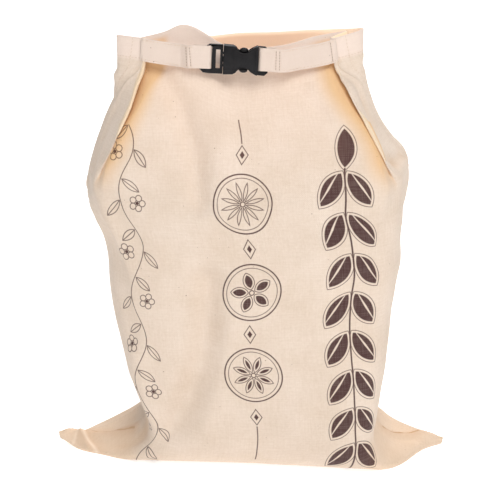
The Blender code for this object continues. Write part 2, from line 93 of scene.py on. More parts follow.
PLEAT_COLUMNS = ("up", "wrap_x", "wrap_y", "seam_x", "seam_y", "ridge_x", "ridge_y",
                 "valley_x", "valley_y", "shoulder_x", "shoulder_y")
PLEAT_LEFT = (
    (334, -148.0, 10.0, -147.0, -4.0, -139.0, -38.0, -134.0, -45.0, -129.0, -53.0),
    (350, -143.0, 6.0, -142.0, -6.0, -130.0, -46.0, -129.0, -43.5, -125.5, -54.0),
    (366, -138.0, 3.0, -136.5, -10.0, -121.5, -50.5, -122.6, -41.5, -117.5, -54.5),
    (384, -131.0, -3.0, -129.5, -14.0, -113.0, -50.5, -116.5, -38.0, -107.0, -52.5),
    (402, -123.5, -9.0, -121.5, -22.0, -104.0, -48.5, -108.5, -31.0, -95.5, -48.5),
    (420, -119.0, -21.0, -110.5, -32.0, -97.5, -45.5, -105.0, -27.0, -85.0, -44.0),
    (436, -115.5, -29.0, -95.5, -40.0, -91.0, -41.0, -104.0, -26.5, -76.5, -36.5),
    (460, -112.0, -31.0, -93.0, -40.0, -88.5, -39.5, -103.0, -29.5, -75.0, -26.0),
)
PLEAT_RIGHT = (
    (334, 146.0, 10.0, 145.0, -4.0, 133.0, -41.0, 127.0, -48.0, 120.0, -58.0),
    (350, 143.5, 6.0, 142.5, -7.0, 121.5, -51.0, 121.3, -46.5, 114.0, -60.0),
    (366, 129.5, 4.0, 128.0, -8.0, 113.5, -56.0, 115.3, -46.5, 109.0, -60.0),
    (384, 116.5, -2.0, 115.5, -14.0, 103.5, -54.0, 106.2, -43.0, 99.5, -56.5),
    (402, 108.0, -10.0, 106.5, -21.0, 92.3, -50.5, 97.0, -34.0, 83.5, -51.0),
    (420, 101.5, -21.0, 97.5, -31.0, 83.0, -47.0, 91.0, -27.0, 70.5, -45.5),
    (436, 98.0, -29.5, 77.5, -40.0, 73.0, -41.5, 88.0, -21.0, 65.0, -38.0),
    (460, 93.5, -31.0, 73.0, -40.0, 68.5, -39.5, 85.0, -17.0, 58.0, -22.0),
)
PLEAT_DIES = (290.0, 336.0)      # heights up the cloth between which the pleats fade in

# Heights of the mouth's edge at each anchor, in the order of the ring.
MOUTH_FRONT = (399.5, 399.3, 399.0, 396.0, 402.5, 408.5, 389.0, 392.0, 398.5, 402.0, 399.5,
               399.5, 399.5)
MOUTH_REAR = (399.5, 404.0, 404.7, 402.3, 400.0, 397.8, 395.5, 392.0, 392.0, 395.0, 400.0,
              400.3, 399.5)
MOUTH_FRONT_X = (-58.0, -10.0, 26.0)      # hump, middle and right quarter of the front hem
MOUTH_FRONT_Y = (-25.0, -36.0, -35.5)
# Where the rear's corners lie at the mouth, drawn in towards the front: fold, behind it, further in.
PINCH_LEFT = ((-115.5, -27.5), (-106.0, -20.5), (-84.0, -9.0))
PINCH_RIGHT = ((98.5, -20.0), (92.5, -7.0), (76.0, 3.0))
PINCH_STARTS = (366.0, 458.0)    # heights up the cloth between which they are drawn in
MOUTH_STARTS = (350.0, 440.0)    # and between which the mouth's heights come in

HEM_STARTS = 425.0      # height up the cloth from which the front takes on the mouth's line
CROWN = 5.0             # how far the middle of a face stands out
FOOT = (66.0, 140.0)    # heights up the cloth between which that comes in
SEAM_DIP = 0.28         # share of the ear fold's height in the point next to the seam

EAR_FORWARD = 8.0       # how far the ears' tips lean to the front
EAR_ROOT = 128.0        # distance from the middle where they begin to
EAR_TIP = 184.0
FRONT_SKEW = (7.0, 14.0)   # foot of the front: set back on the left, further out on the right
SKEW_HALF = 120.0
SKEW_FADES = 190.0      # height where that is gone

# Soft troughs and ridges: panel, half width, height (out is positive), and points (x, z) on the way.
FOLDS = (
    ("front", 13.5, -11.0, (-38.0, 190.0), (-40.0, 150.0), (-44.0, 118.0), (-58.0, 74.0), (-86.0, 22.0)),
    ("front", 9.0, 4.4, (-103.0, 118.0), (-99.0, 84.0), (-90.0, 56.0), (-86.0, 40.0)),
    ("front", 7.0, -3.6, (-112.0, 78.0), (-101.0, 50.0), (-104.0, 24.0)),
    ("front", 10.0, 2.4, (-18.0, 150.0), (-24.0, 100.0), (-42.0, 50.0)),
    ("front", 10.0, -8.0, (-78.0, 374.0), (-62.0, 342.0), (-49.0, 304.0), (-45.0, 262.0)),
    ("front", 12.0, 2.0, (-34.0, 366.0), (-26.0, 330.0), (-24.0, 280.0)),
    ("front", 8.0, -2.6, (-22.0, 366.0), (10.0, 357.0), (43.0, 352.0), (62.0, 336.0)),
    ("front", 4.5, 2.2, (-136.0, 264.0), (-120.0, 232.0), (-108.0, 200.0)),
    ("front", 6.0, -2.6, (-144.0, 250.0), (-126.0, 224.0), (-116.0, 196.0), (-106.0, 130.0)),
    ("front", 8.0, -2.4, (-124.0, 262.0), (-98.0, 222.0)),
    ("front", 9.0, -2.2, (130.0, 258.0), (118.0, 226.0), (108.0, 196.0)),
    ("front", 9.0, 1.6, (112.0, 254.0), (97.0, 200.0)),
    ("front", 11.0, -2.8, (60.0, 66.0), (96.0, 46.0), (128.0, 26.0)),
    ("front", 13.0, -2.4, (92.0, 176.0), (98.0, 110.0), (106.0, 60.0)),
    ("front", 18.0, 1.4, (20.0, 170.0), (44.0, 60.0)),
    ("rear", 16.0, -3.5, (-60.0, 330.0), (-110.0, 220.0)),
    ("rear", 15.0, -3.0, (70.0, 335.0), (100.0, 200.0)),
    ("rear", 20.0, -3.5, (-20.0, 210.0), (60.0, 90.0)),
    ("rear", 13.0, -4.0, (-90.0, 150.0), (-110.0, 40.0)),
    ("rear", 14.0, -5.0, (60.0, 120.0), (105.0, 30.0)),
)

# Creases on the flat ears, in plan: two ends (x, y), half width, rise.
EAR_FOLDS = (
    (-164.0, -8.0, -98.0, -26.0, 2.6, 2.6),
    (-158.0, -18.0, -106.0, -40.0, 4.5, -2.2),
    (-163.0, -6.0, -142.0, -54.0, 2.6, 2.8),
    (-171.0, -12.0, -152.0, -48.0, 3.5, -1.6),
    (-160.0, 6.0, -120.0, 26.0, 8.0, -1.4),
    (162.0, -7.5, 124.0, -20.5, 2.6, 1.8),
    (162.0, -16.0, 126.0, -28.0, 3.8, -1.8),
    (168.0, -8.0, 128.0, -6.0, 4.0, -1.0),
    (165.0, -10.0, 130.0, 28.0, 6.0, 1.4),
    (160.0, -26.0, 138.0, -50.0, 6.0, 1.6),
)
EAR_CURL = (160.0, 181.0, 6.5)      # the left ear's tip turns up: from, to, by how much

# Folds near the side seams. Panel, seam, two ends (distance from the seam, height up the cloth),
# half width, height.
SEAM_FOLDS = (
    ("rear", "left", 3.0, 428.0, 24.0, 421.0, 5.0, 1.8),
    ("rear", "left", 2.0, 437.0, 22.0, 433.0, 3.5, -0.9),
    ("rear", "left", 6.0, 408.0, 20.0, 396.0, 4.0, -1.2),
    ("rear", "right", 10.0, 431.0, 30.0, 430.0, 3.0, -1.3),
    ("rear", "right", 8.0, 437.0, 26.0, 439.0, 4.0, 1.0),
    ("front", "left", 10.0, 396.0, 18.0, 340.0, 3.2, -0.9),
    ("front", "left", 20.0, 366.0, 44.0, 328.0, 5.0, 1.2),
    ("front", "right", 8.0, 420.0, 22.0, 384.0, 4.0, -1.3),
    ("front", "right", 16.0, 425.0, 34.0, 372.0, 3.5, 1.0),
    ("front", "right", 2.0, 354.0, 30.0, 351.0, 4.5, -3.4),
    ("front", "right", 30.0, 351.0, 42.0, 359.0, 4.0, -2.6),
    ("front", "right", 4.0, 344.0, 34.0, 339.0, 6.5, 2.4),
)

# Unevenness of the cloth all over: its size, its height and its place in the noise
RUMPLES = ((62.0, 1.6, 3.0), (21.0, 0.5, 11.0))
# The turned allowance beside each side seam, and the groove on the seam: height, middle, width
SEAM_RIDGE = (0.75, 2.4, 1.7)
SEAM_GROOVE = (0.9, 0.0, 0.9)
# The doubled cloth of the hem, and its stitched groove, which is deeper at each pucker
HEM_RISE = 0.35
HEM_SEAM = 2.0          # from the hem's lower edge up to its stitches
HEM_GROOVE = 0.35
HEM_PUCKER = 0.18
PUCKER_PITCH = 9.0
HEM_GROOVE_WIDTH = 1.1

# How strongly painted warm shade darkens the folds near the seams and the flat ears, and where
FOLD_SHADE = 0.45
SEAM_REACH = (30.0, 70.0)
EAR_SHADE = 0.30
EAR_EDGE = (100.0, 116.0)
EAR_HEIGHT = (26.0, 44.0)

# Buckle and straps. In the buckle's own plane, along runs left to right and up is across the strap.
WEBBING = 1.4           # thickness of a strap
STRAP_WIDTH = 20.0
STRAP_RISE = 1.3        # the straps sit this far above the buckle's middle
ROW_REACH = 8.4         # half length of a row of stitches across a strap
LEFT_ROWS = ((-54.3, -1.2), (-51.4, -1.2))       # place and lean of each
RIGHT_ROWS = ((22.2, 0.0), (25.4, 0.2), (69.6, 0.6))
LEVELLED = (31.0, 50.0)    # a strap is level with the buckle up to here, and free from there
TOUCH = 0.3                # room between a strap and its bar
BAR_DEPTH = 2.2
BUCKLE_AT = (-14.0, -48.2, 382.6)
BUCKLE_TILT = 2.6          # degrees, right end down
PLUG_SPAN = (-29.0, -9.3)
SOCKET_SPAN = (-8.9, 21.2)
TAIL_END = 29.6            # outer edge of the socket's strap bar
LEFT_TURN = PLUG_SPAN[0] + 9.4      # where a strap goes round its bar, along the buckle
LEFT_FOLD = PLUG_SPAN[0] - 9.0      # and where it lies level in front of it
RIGHT_TURN = SOCKET_SPAN[1] + 0.8
RIGHT_FOLD = TAIL_END + 9.0
LEFT_SEWN = -38.0          # the straps' edge seams end here
RIGHT_SEWN = 12.0
EDGE_SEAM = 8.3            # from a strap's middle out to its edge seam
BUTTON_AT = (8.6, 8.6)     # middle of a thumb button: along the buckle, and out from its middle
BUCKLE_DEPTH = 8.4
WINDOW_AT = (8.6, 13.6)    # middle of a release window
LIP_RADIUS = 7.6           # the moulded lip round a window
LIP_SWEEP = 112.0
PANEL_PLATES = (           # raised plates: left, right, low, high, rise
    (-8.6, -0.4, -12.2, 12.2, 0.45),
    (-8.6, 0.6, -9.0, -7.4, 0.75),
    (18.4, 20.9, -11.0, 11.0, 0.5),
)
# Middle lines of the straps, from the side seam towards the buckle
STRAP_LEFT = ((-94.0, -40.2, 390.2), (-91.5, -41.9, 389.8), (-76.0, -43.4, 387.4),
              (-60.0, -45.2, 385.4))
STRAP_RIGHT = ((74.6, -40.2, 389.0), (71.5, -42.0, 388.4), (62.0, -43.6, 386.2),
               (44.0, -45.0, 383.2))

# Loose ends of the thread that sews the right strap down
THREAD_ENDS = (
    ((75.6, -42.6, 380.4), (74.3, -44.8, 377.4), (74.0, -46.4, 373.8), (75.2, -47.6, 370.4)),
    ((76.2, -42.4, 380.2), (77.2, -44.0, 377.0), (76.4, -45.6, 373.2), (76.8, -46.8, 368.2)),
)
END_PITCH = 0.7
END_STITCH = (1.1, 0.17)

# Studio lamps: name, place, diameter, power
LAMPS = (
    ("key", (0.8, -2.5, 3.3), 2.5, 103.0),
    ("fill", (-3.0, -2.4, 1.8), 2.4, 3.0),
    ("back", (0.2, 2.6, 3.0), 2.4, 84.0),
)
LAMPS_AIM = (0.0, 0.0, 0.2)
SKY = 0.26

# Camera, fitted to the photograph
CAMERA_AT = (0.0, -1.25, 0.611)
CAMERA_DOWN = 18.43     # degrees
CAMERA_LENS = 101.9


def column(table, names, name):
    """One named column of a table."""
    place = names.index(name)
    return [row[place] for row in table]


def smooth(knots, values, at):
    """A curve through the values that never swings past them, read at the given places."""
    knots = np.asarray(knots, float)
    values = np.asarray(values, float).reshape(len(knots), -1)
    gap = np.diff(knots)[:, None]
    slope = np.diff(values, axis=0) / gap
    before, after = slope[:-1], slope[1:]
    same_way = before * after > 0
    total = np.where(same_way, before + after, 1.0)
    tangent = np.zeros_like(values)
    tangent[1:-1] = np.where(same_way, 2.0 * before * after / total, 0.0)
    tangent[0], tangent[-1] = slope[0], slope[-1]
    at = np.asarray(at, float)
    cell = np.clip(np.searchsorted(knots, at, side="right") - 1, 0, len(gap) - 1)
    span = gap[cell]
    u = (at[:, None] - knots[cell][:, None]) / span
    return ((2 * u ** 3 - 3 * u ** 2 + 1) * values[cell]
            + (3 * u ** 2 - 2 * u ** 3) * values[cell + 1]
            + (u ** 3 - 2 * u ** 2 + u) * span * tangent[cell]
            + (u ** 3 - u ** 2) * span * tangent[cell + 1])


def ease(low, high, value):
    """0 at low, 1 at high, and a smooth step between; takes a number or an array."""
    u = np.clip((value - low) / (high - low), 0.0, 1.0)
    return u * u * (3.0 - 2.0 * u)


def read(table, names, up):
    """A table's row at any height, by name."""
    knots = column(table, names, "up")
    rows = [row[1:] for row in table]
    values = smooth(knots, rows, [min(max(up, knots[0]), knots[-1])])[0]
    return dict(zip(names[1:], values))


def corner(side, face, radius):
    """Side, arc start, arc middle and arc end of a rounded corner in plan."""
    inward = math.copysign(1.0, -side)
    back = math.copysign(1.0, -face)
    bite = radius * (1.0 - math.sqrt(0.5))
    return [(side, 0.5 * (face + back * radius)), (side, face + back * radius),
            (side + inward * bite, face + back * bite), (side + inward * radius, face)]


def half_anchors(body, table, pinch, up, pleated):
    """Plan anchors of one side, front and rear, from the seam to where the face begins."""
    side = body["left"] if table is PLEAT_LEFT else body["right"]
    front = [(side, 0.0)] + corner(side, body["front"], body["corner"])
    rear = [(side, 0.0)] + corner(side, body["rear"], body["corner"])
    pleat = read(table, PLEAT_COLUMNS, up)
    seam, ridge, valley, shoulder, wrap = [
        np.array((pleat[name + "_x"], pleat[name + "_y"]))
        for name in ("seam", "ridge", "valley", "shoulder", "wrap")]
    folded = [seam, 0.5 * (seam + ridge), ridge, valley, shoulder]
    front = [np.array(a) * (1 - pleated) + b * pleated for a, b in zip(front, folded)]
    rear = [np.array(point) for point in rear]
    rear[0] = front[0]
    rear[1] = rear[1] * (1 - pleated) + wrap * pleated
    pinched = ease(PINCH_STARTS[0], PINCH_STARTS[1], up)
    for place, drawn_in in zip((2, 3, 4), pinch):
        rear[place] = rear[place] * (1 - pinched) + np.array(drawn_in) * pinched
    return front, rear


def ring_anchors(up):
    """Front and rear anchors of the ring at one height up the cloth, left seam to right."""
    body = read(BODY, BODY_COLUMNS, up)
    pleated = ease(PLEAT_DIES[0], PLEAT_DIES[1], up)
    lift = ease(MOUTH_STARTS[0], MOUTH_STARTS[1], up)
    hem = ease(HEM_STARTS, MOUTH_UP, up)
    left_half = half_anchors(body, PLEAT_LEFT, PINCH_LEFT, up, pleated)
    right_half = half_anchors(body, PLEAT_RIGHT, PINCH_RIGHT, up, pleated)
    crown = CROWN * ease(FOOT[0], FOOT[1], up)
    near_seam = SEAM_DIP * body["fold_z"] + (1.0 - SEAM_DIP) * body["side_z"]
    level = [body["side_z"], near_seam, body["fold_z"],
             0.5 * (body["fold_z"] + body["front_z"]), body["front_z"]]
    ring = []
    for which, face, edge in ((0, body["front"], MOUTH_FRONT), (1, body["rear"], MOUTH_REAR[::-1])):
        left, right = left_half[which], right_half[which]
        outward = math.copysign(1.0, face)
        ends = (left[4][0], right[4][0])
        if which == 0:
            middle_x = [0.5 * ends[0] + 0.05 * ends[1], 0.5 * (ends[0] + ends[1]),
                        0.5 * ends[1] + 0.05 * ends[0]]
            middle_x = [x * (1 - lift) + top * lift for x, top in zip(middle_x, MOUTH_FRONT_X)]
        else:
            middle_x = [0.5 * ends[0], 0.5 * (ends[0] + ends[1]), 0.5 * ends[1]]
        middle_y = [face + outward * share * crown for share in (0.6, 1.0, 0.6)]
        if which == 0:
            middle_y = [y * (1 - hem) + top * hem for y, top in zip(middle_y, MOUTH_FRONT_Y)]
        points = list(left) + [np.array(p) for p in zip(middle_x, middle_y)] + list(right[::-1])
        levels = level + [body["front_z"]] * 3 + level[::-1]
        ring.append([(p[0], p[1], z + lift * (top - HEM_LEVEL))
                     for p, z, top in zip(points, levels, edge)])
    return ring


def ring_points(up, columns):
    """One ring's points, front and rear, left seam to right, with their run along the cloth."""
    counts = list(columns) + list(columns[::-1])
    halves = []
    for anchors in ring_anchors(up):
        anchors = np.array(anchors)
        steps = np.maximum(np.linalg.norm(np.diff(anchors, axis=0), axis=1), 0.05)
        knots = np.concatenate(([0.0], np.cumsum(steps)))
        places = [knots[0]]
        for low, high, count in zip(knots[:-1], knots[1:], counts):
            places += [low + (high - low) * (k + 1) / count for k in range(count)]
        halves.append(smooth(knots, anchors, places))
    return halves


def leaned(points):
    """Points with the ears' lean and the skewed foot of the front."""
    x, y, z = points[..., 0], points[..., 1].copy(), points[..., 2]
    past = np.maximum(np.abs(x) - EAR_ROOT, 0.0) / (EAR_TIP - EAR_ROOT)
    y -= EAR_FORWARD * past * (1.0 - ease(20.0, 60.0, z))
    share = ease(-20.0, -46.0, y) * (1.0 - ease(0.0, SKEW_FADES, z))
    skew = np.where(x < 0.0, FRONT_SKEW[0], FRONT_SKEW[1])
    y -= skew * np.clip(x / SKEW_HALF, -1.0, 1.0) * share
    return np.stack((x, y, z), axis=-1)


def grid_normals(points):
    """Outward normals of a grid of points, rows by columns."""
    along = np.gradient(points, axis=0)
    across = np.gradient(points, axis=1)
    normal = np.cross(across, along)
    length = np.linalg.norm(normal, axis=2, keepdims=True)
    return normal / np.maximum(length, 1e-9)


def off_line(u, v, u0, v0, u1, v1):
    """Distance of points (u, v) from the straight line between two ends."""
    run = (u1 - u0) ** 2 + (v1 - v0) ** 2
    along = np.clip(((u - u0) * (u1 - u0) + (v - v0) * (v1 - v0)) / run, 0.0, 1.0)
    return np.hypot(u - u0 - along * (u1 - u0), v - v0 - along * (v1 - v0))


def bump(at, height, middle, width):
    """A soft ridge of the given height, where it is met at a distance from its middle."""
    return height * np.exp(-((at - middle) / width) ** 2)


def fold_height(sheet, panel):
    """Summed height of the soft folds on one panel."""
    x, y, z = sheet[..., 0], sheet[..., 1], sheet[..., 2]
    total = np.zeros_like(x)
    for where, width, height, *points in FOLDS:
        if where != panel:
            continue
        away = np.full_like(x, np.inf)
        for start, end in zip(points[:-1], points[1:]):
            away = np.minimum(away, off_line(x, z, *start, *end))
        total += bump(away, height, 0.0, width)
    return total * ease(8.0, 45.0, z) * ease(20.0, 50.0, np.abs(y))


def ear_rise(points):
    """Summed rise of the ears' creases, on the cloth that lies on top."""
    x, y, z = points[..., 0], points[..., 1], points[..., 2]
    total = np.zeros_like(x)
    for *ends, width, height in EAR_FOLDS:
        total += bump(off_line(x, y, *ends), height, 0.0, width)
    return total * ease(2.4, 5.0, z) * (1.0 - ease(30.0, 48.0, z)) * ease(92.0, 104.0, np.abs(x))


def rumple(points, scale, amount, seed):
    """Random soft unevenness of the cloth, the same each run."""
    flat = points.reshape(-1, 3)
    lift = [noise.noise(Vector(p) / scale + Vector((seed, 0.0, 0.0))) for p in flat]
    return amount * np.array(lift).reshape(points.shape[:-1])


def canvas_grid():
    """The cut canvas: rows from the rear hem, under the base, to the front hem."""
    ups = np.linspace(0.0, MOUTH_UP, int(MOUTH_UP / ROW_STEP) + 1)
    rings = [ring_points(up, COLUMNS) for up in ups]
    front = leaned(np.array([ring[0] for ring in rings]))
    rear = leaned(np.array([ring[1] for ring in rings]))
    sheet = np.concatenate((rear[::-1], front))
    up_map = np.concatenate((-ups[::-1], ups))
    across = np.linalg.norm(np.diff(sheet, axis=1), axis=2)
    run = np.concatenate((np.zeros((len(sheet), 1)), np.cumsum(across, axis=1)), axis=1)
    middle = run[:, sheet.shape[1] // 2][:, None]
    return sheet, run - middle, up_map


def dress_canvas(sheet, run, up_map):
    """Folds, rumples, the raised hem and its stitched groove."""
    normal = grid_normals(sheet)
    half = len(sheet) // 2
    lift = np.zeros(sheet.shape[:2])
    lift[:half] += fold_height(sheet[:half], "rear")
    lift[half:] += fold_height(sheet[half:], "front")
    lift += ear_rise(sheet)
    curl = ease(EAR_CURL[0], EAR_CURL[1], -sheet[..., 0]) * ease(-26.0, -4.0, sheet[..., 1])
    sheet = sheet + np.array((0.0, 0.0, EAR_CURL[2])) * curl[..., None]
    free = ease(4.0, 40.0, sheet[..., 2])
    for size, height, seed in RUMPLES:
        lift += rumple(sheet, size, height, seed) * free
    up = np.abs(up_map)[:, None]
    for seam in (run[:, :1], run[:, -1:]):
        away = np.abs(run - seam)
        lift += bump(away, *SEAM_RIDGE) - bump(away, *SEAM_GROOVE)
    for panel, side, *ends, width, height in SEAM_FOLDS:
        seam = run[:, :1] if side == "left" else run[:, -1:]
        off = off_line(np.abs(run - seam), up, *ends)
        held = (up_map[:, None] > 0) == (panel == "front")
        lift += held * bump(off, height, 0.0, width)
    foot = MOUTH_UP - HEM_DEPTH
    lift += HEM_RISE * ease(foot - 0.5, foot + 1.5, up)
    groove = np.exp(-((up - foot - HEM_SEAM) / HEM_GROOVE_WIDTH) ** 2)
    lift -= (HEM_GROOVE + HEM_PUCKER * np.sin(run * 2.0 * math.pi / PUCKER_PITCH)) * groove
    moved = sheet + normal * lift[..., None]
    moved[..., 2] = np.maximum(moved[..., 2], 0.0)
    front, rear = moved[half:], moved[:half][::-1]
    for edge in (0, -1):
        seam = 0.5 * (rear[:, edge] + front[:, edge])
        front[:, edge] = seam
        rear[:, edge] = seam
    return moved


def turn_in_hem(sheet, run, up_map):
    """Adds the hem's inner layer at both ends of the cut."""
    normal = grid_normals(sheet)
    rows = int(HEM_DEPTH / ROW_STEP)
    lip = 0.25
    front_in = (sheet - normal * HEM_BACK)[-rows - 1:][::-1]
    rear_in = (sheet - normal * HEM_BACK)[:rows + 1][::-1]
    crest_front = sheet[-1:] - normal[-1:] * 0.5 * HEM_BACK + np.array((0.0, 0.0, lip))
    crest_rear = sheet[:1] - normal[:1] * 0.5 * HEM_BACK + np.array((0.0, 0.0, lip))
    whole = np.concatenate((rear_in, crest_rear, sheet, crest_front, front_in))
    extra = MOUTH_UP + 1.0 + ROW_STEP * np.arange(rows + 2)
    up_whole = np.concatenate((-extra[::-1], up_map, extra))
    pad_front = np.concatenate((run[-1:], run[-rows - 1:][::-1]))
    pad_rear = np.concatenate((run[:rows + 1][::-1], run[:1]))
    return whole, np.concatenate((pad_rear, run, pad_front)), up_whole


def softened(grid, passes):
    """A grid of points, each moved to the mean of its neighbours several times."""
    for _ in range(passes):
        padded = np.pad(grid, ((1, 1), (1, 1), (0, 0)), mode="edge")
        grid = 0.2 * (padded[1:-1, 1:-1] + padded[:-2, 1:-1] + padded[2:, 1:-1]
                      + padded[1:-1, :-2] + padded[1:-1, 2:])
    return grid


def hollow_share(sheet):
    """0 on open cloth to 1 deep in a fold, from how far each point lies behind its neighbours."""
    normal = grid_normals(sheet)
    deep = np.zeros(sheet.shape[:2])
    for passes, size in ((12, 0.9), (60, 2.6)):
        behind = np.sum((softened(sheet, passes) - sheet) * normal, axis=2)
        deep = np.maximum(deep, np.clip(behind / size - 0.45, 0.0, 1.0))
    return softened(deep[..., None], 3)[..., 0]


def pleat_share(up_whole, columns):
    """1 on the cloth tucked in between a pleat's ridge and its shoulder, 0 elsewhere."""
    place = np.arange(columns)
    place = np.minimum(place, columns - 1 - place).astype(float)
    ridge = sum(COLUMNS[:2])
    shoulder = sum(COLUMNS[:4])
    tucked = ease(ridge + 3.0, ridge + 6.0, place) * (1.0 - ease(shoulder - 1.0, shoulder + 5.0, place))
    up = np.asarray(up_whole)
    rows = ease(PLEAT_DIES[0] + 34.0, PLEAT_DIES[1] + 26.0, up) * (1.0 - ease(452.0, 458.0, up))
    return rows[:, None] * tucked[None, :]


def made_of(name, shape, *finishes):
    """An object made from a shape, which is then let go."""
    mesh = bpy.data.meshes.new(name)
    shape.to_mesh(mesh)
    shape.free()
    made = bpy.data.objects.new(name, mesh)
    bpy.context.scene.collection.objects.link(made)
    for finish in finishes:
        mesh.materials.append(finish)
    return made


def grid_piece(name, points, maps, finishes, weld=0.0, capped=False, painted_shade=None):
    """A piece from a grid, rows by columns of points, with its cloth map and how much painted shade each
    point takes.
    """
    rows, columns = points.shape[:2]
    shape = bmesh.new()
    cloth = shape.loops.layers.uv.new("cloth")
    fold = shape.verts.layers.float.new("fold")
    bmesh.ops.create_grid(shape, x_segments=columns - 1, y_segments=rows - 1, size=1.0)
    shape.verts.ensure_lookup_table()
    places = {}
    for vert in shape.verts:
        i = round((vert.co.x + 1.0) / 2.0 * (columns - 1))
        j = round((vert.co.y + 1.0) / 2.0 * (rows - 1))
        places[vert] = (j, i)
        vert.co = Vector(points[j, i]) * MM
        if painted_shade is not None:
            vert[fold] = painted_shade[j, i]
    for face in shape.faces:
        face.smooth = True
        for loop in face.loops:
            loop[cloth].uv = Vector(maps[places[loop.vert]]) * MM
    if weld:
        bmesh.ops.remove_doubles(shape, verts=shape.verts[:], dist=weld)
    if capped:
        rims = [edge for edge in shape.edges if edge.is_boundary]
        bmesh.ops.holes_fill(shape, edges=rims, sides=0)
        bmesh.ops.recalc_face_normals(shape, faces=shape.faces[:])
    return made_of(name, shape, *finishes)


def build_canvas(outside, inside):
    """The whole bag body, sewn at the sides."""
    sheet, run, up_map = canvas_grid()
    sheet = dress_canvas(sheet, run, up_map)
    whole, run_whole, up_whole = turn_in_hem(sheet, run, up_map)
    maps = np.stack((run_whole, np.broadcast_to(up_whole[:, None], run_whole.shape)), axis=-1)
    # Painted shade: how much of the warm shade colour each point takes, in hollows near the seams, in
    # the pleats and on the flat ears, kept in the cloth's 'fold' attribute
    away = np.minimum(run_whole - run_whole[:, :1], run_whole[:, -1:] - run_whole)
    near_seam = 1.0 - ease(*SEAM_REACH, away)
    shade = np.maximum(FOLD_SHADE * hollow_share(whole) * near_seam,
                       pleat_share(up_whole, whole.shape[1]))
    ears = ease(*EAR_EDGE, np.abs(whole[..., 0])) * (1.0 - ease(*EAR_HEIGHT, whole[..., 2]))
    shade = np.maximum(shade, EAR_SHADE * ears)
    made = grid_piece("bag_canvas", whole, maps, (outside, inside), weld=2e-5, painted_shade=shade)
    wall = made.modifiers.new("canvas thickness", "SOLIDIFY")
    wall.thickness = CANVAS * MM
    wall.offset = -1.0
    wall.material_offset = 1
    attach(made, "root")
    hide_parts("bag_body")
    return sheet, up_map


# Shader values and finishes

class Value:
    """A number that varies over a surface; arithmetic on it adds Math nodes."""

    def __init__(self, finish, socket):
        self.finish = finish
        self.socket = socket

    def worked(self, operation, *terms):
        return self.finish.node("ShaderNodeMath", {"operation": operation}, dict(enumerate(terms)))

    def __add__(self, other):
        return self.worked("ADD", self, other)

    __radd__ = __add__

    def __sub__(self, other):
        return self.worked("SUBTRACT", self, other)

    def __rsub__(self, other):
        return self.worked("SUBTRACT", other, self)

    def __mul__(self, other):
        return self.worked("MULTIPLY", self, other)

    __rmul__ = __mul__

    def __truediv__(self, other):
        return self.worked("DIVIDE", self, other)

    def __mod__(self, other):
        return self.worked("FLOORED_MODULO", self, other)

    def __abs__(self):
        return self.worked("ABSOLUTE", self)

    def __or__(self, other):
        """The larger of two masks."""
        return self.worked("MAXIMUM", self, other)

    def __and__(self, other):
        """The smaller of two masks."""
        return self.worked("MINIMUM", self, other)

    def waved(self, pitch):
        return self.worked("COSINE", self * (2.0 * math.pi / pitch))

    def clamped(self, gain, shift):
        """gain * value + shift, held between 0 and 1."""
        return self.finish.node("ShaderNodeMath", {"operation": "MULTIPLY_ADD", "use_clamp": True},
                                {0: self, 1: gain, 2: shift})


class Finish:
    """A material, its shader and its nodes."""

    def __init__(self, name, **constants):
        self.material = bpy.data.materials.new(name)
        self.material.use_nodes = True
        self.tree = self.material.node_tree
        self.shader = self.tree.nodes["Principled BSDF"]
        for socket, value in constants.items():
            self.shader.inputs[socket.replace("_", " ").title()].default_value = value

    def node(self, kind, settings=None, inputs=None, output=0):
        made = self.tree.nodes.new(kind)
        for name, value in (settings or {}).items():
            setattr(made, name, value)
        for name, value in (inputs or {}).items():
            if isinstance(value, Value):
                self.tree.links.new(value.socket, made.inputs[name])
            else:
                made.inputs[name].default_value = value
        return Value(self, made.outputs[output])

    def feed(self, **values):
        """Links values to the shader's own sockets."""
        for socket, value in values.items():
            self.tree.links.new(value.socket, self.shader.inputs[socket.replace("_", " ").title()])

    def mixed(self, share, first, second):
        """A colour between two colours."""
        return self.node("ShaderNodeMix", {"data_type": "RGBA"}, {0: share, 6: first, 7: second}, 2)

    def cloth_map(self):
        """The cloth's own map: across and along, in metres."""
        where = self.node("ShaderNodeUVMap", {"uv_map": "cloth"})
        across = self.node("ShaderNodeSeparateXYZ", None, {0: where}, 0)
        along = Value(self, across.socket.node.outputs[1])
        return where, across, along

    def clouds(self, where, scale, detail=2.0, stretch=(1.0, 1.0, 1.0), output=0):
        """Noise of about 1 / scale metres, stretched as asked."""
        placed = self.node("ShaderNodeMapping", None, {"Vector": where, "Scale": stretch})
        return self.node("ShaderNodeTexNoise", None,
                         {"Vector": placed, "Scale": scale, "Detail": detail}, output)

    def relief(self, height, distance, strength=1.0):
        """A bump from a height of 0 to 1, that stands out by the distance in metres."""
        return self.node("ShaderNodeBump", None,
                         {"Height": height, "Distance": distance, "Strength": strength})


def rgb(red, green, blue):
    """A colour from its 0 to 255 values on a screen."""
    linear = [((c / 255 + 0.055) / 1.055) ** 2.4 for c in (red, green, blue)]
    return (*linear, 1.0)


def span(x, y):
    """Length of (x, y)."""
    return (x * x + y * y).worked("SQRT", x * x + y * y)


def inked(distance, soft=0.0006):
    """1 where a distance in metres is below 0."""
    return distance.clamped(-1.0 / soft, 0.5)


def line(distance, width):
    """A line of the given width where a distance crosses 0."""
    return inked(abs(distance) - 0.5 * width)


def seed_shape(x, y, half_width, half_length):
    """Distance to a seed with two pointed ends, its length along y."""
    radius = (half_width ** 2 + half_length ** 2) / (2.0 * half_width)
    return span(abs(x) + (radius - half_width), y) - radius


def swung(x, y, degrees):
    """x and y turned by an angle."""
    c, s = math.cos(math.radians(degrees)), math.sin(math.radians(degrees))
    return x * c + y * s, y * c - x * s


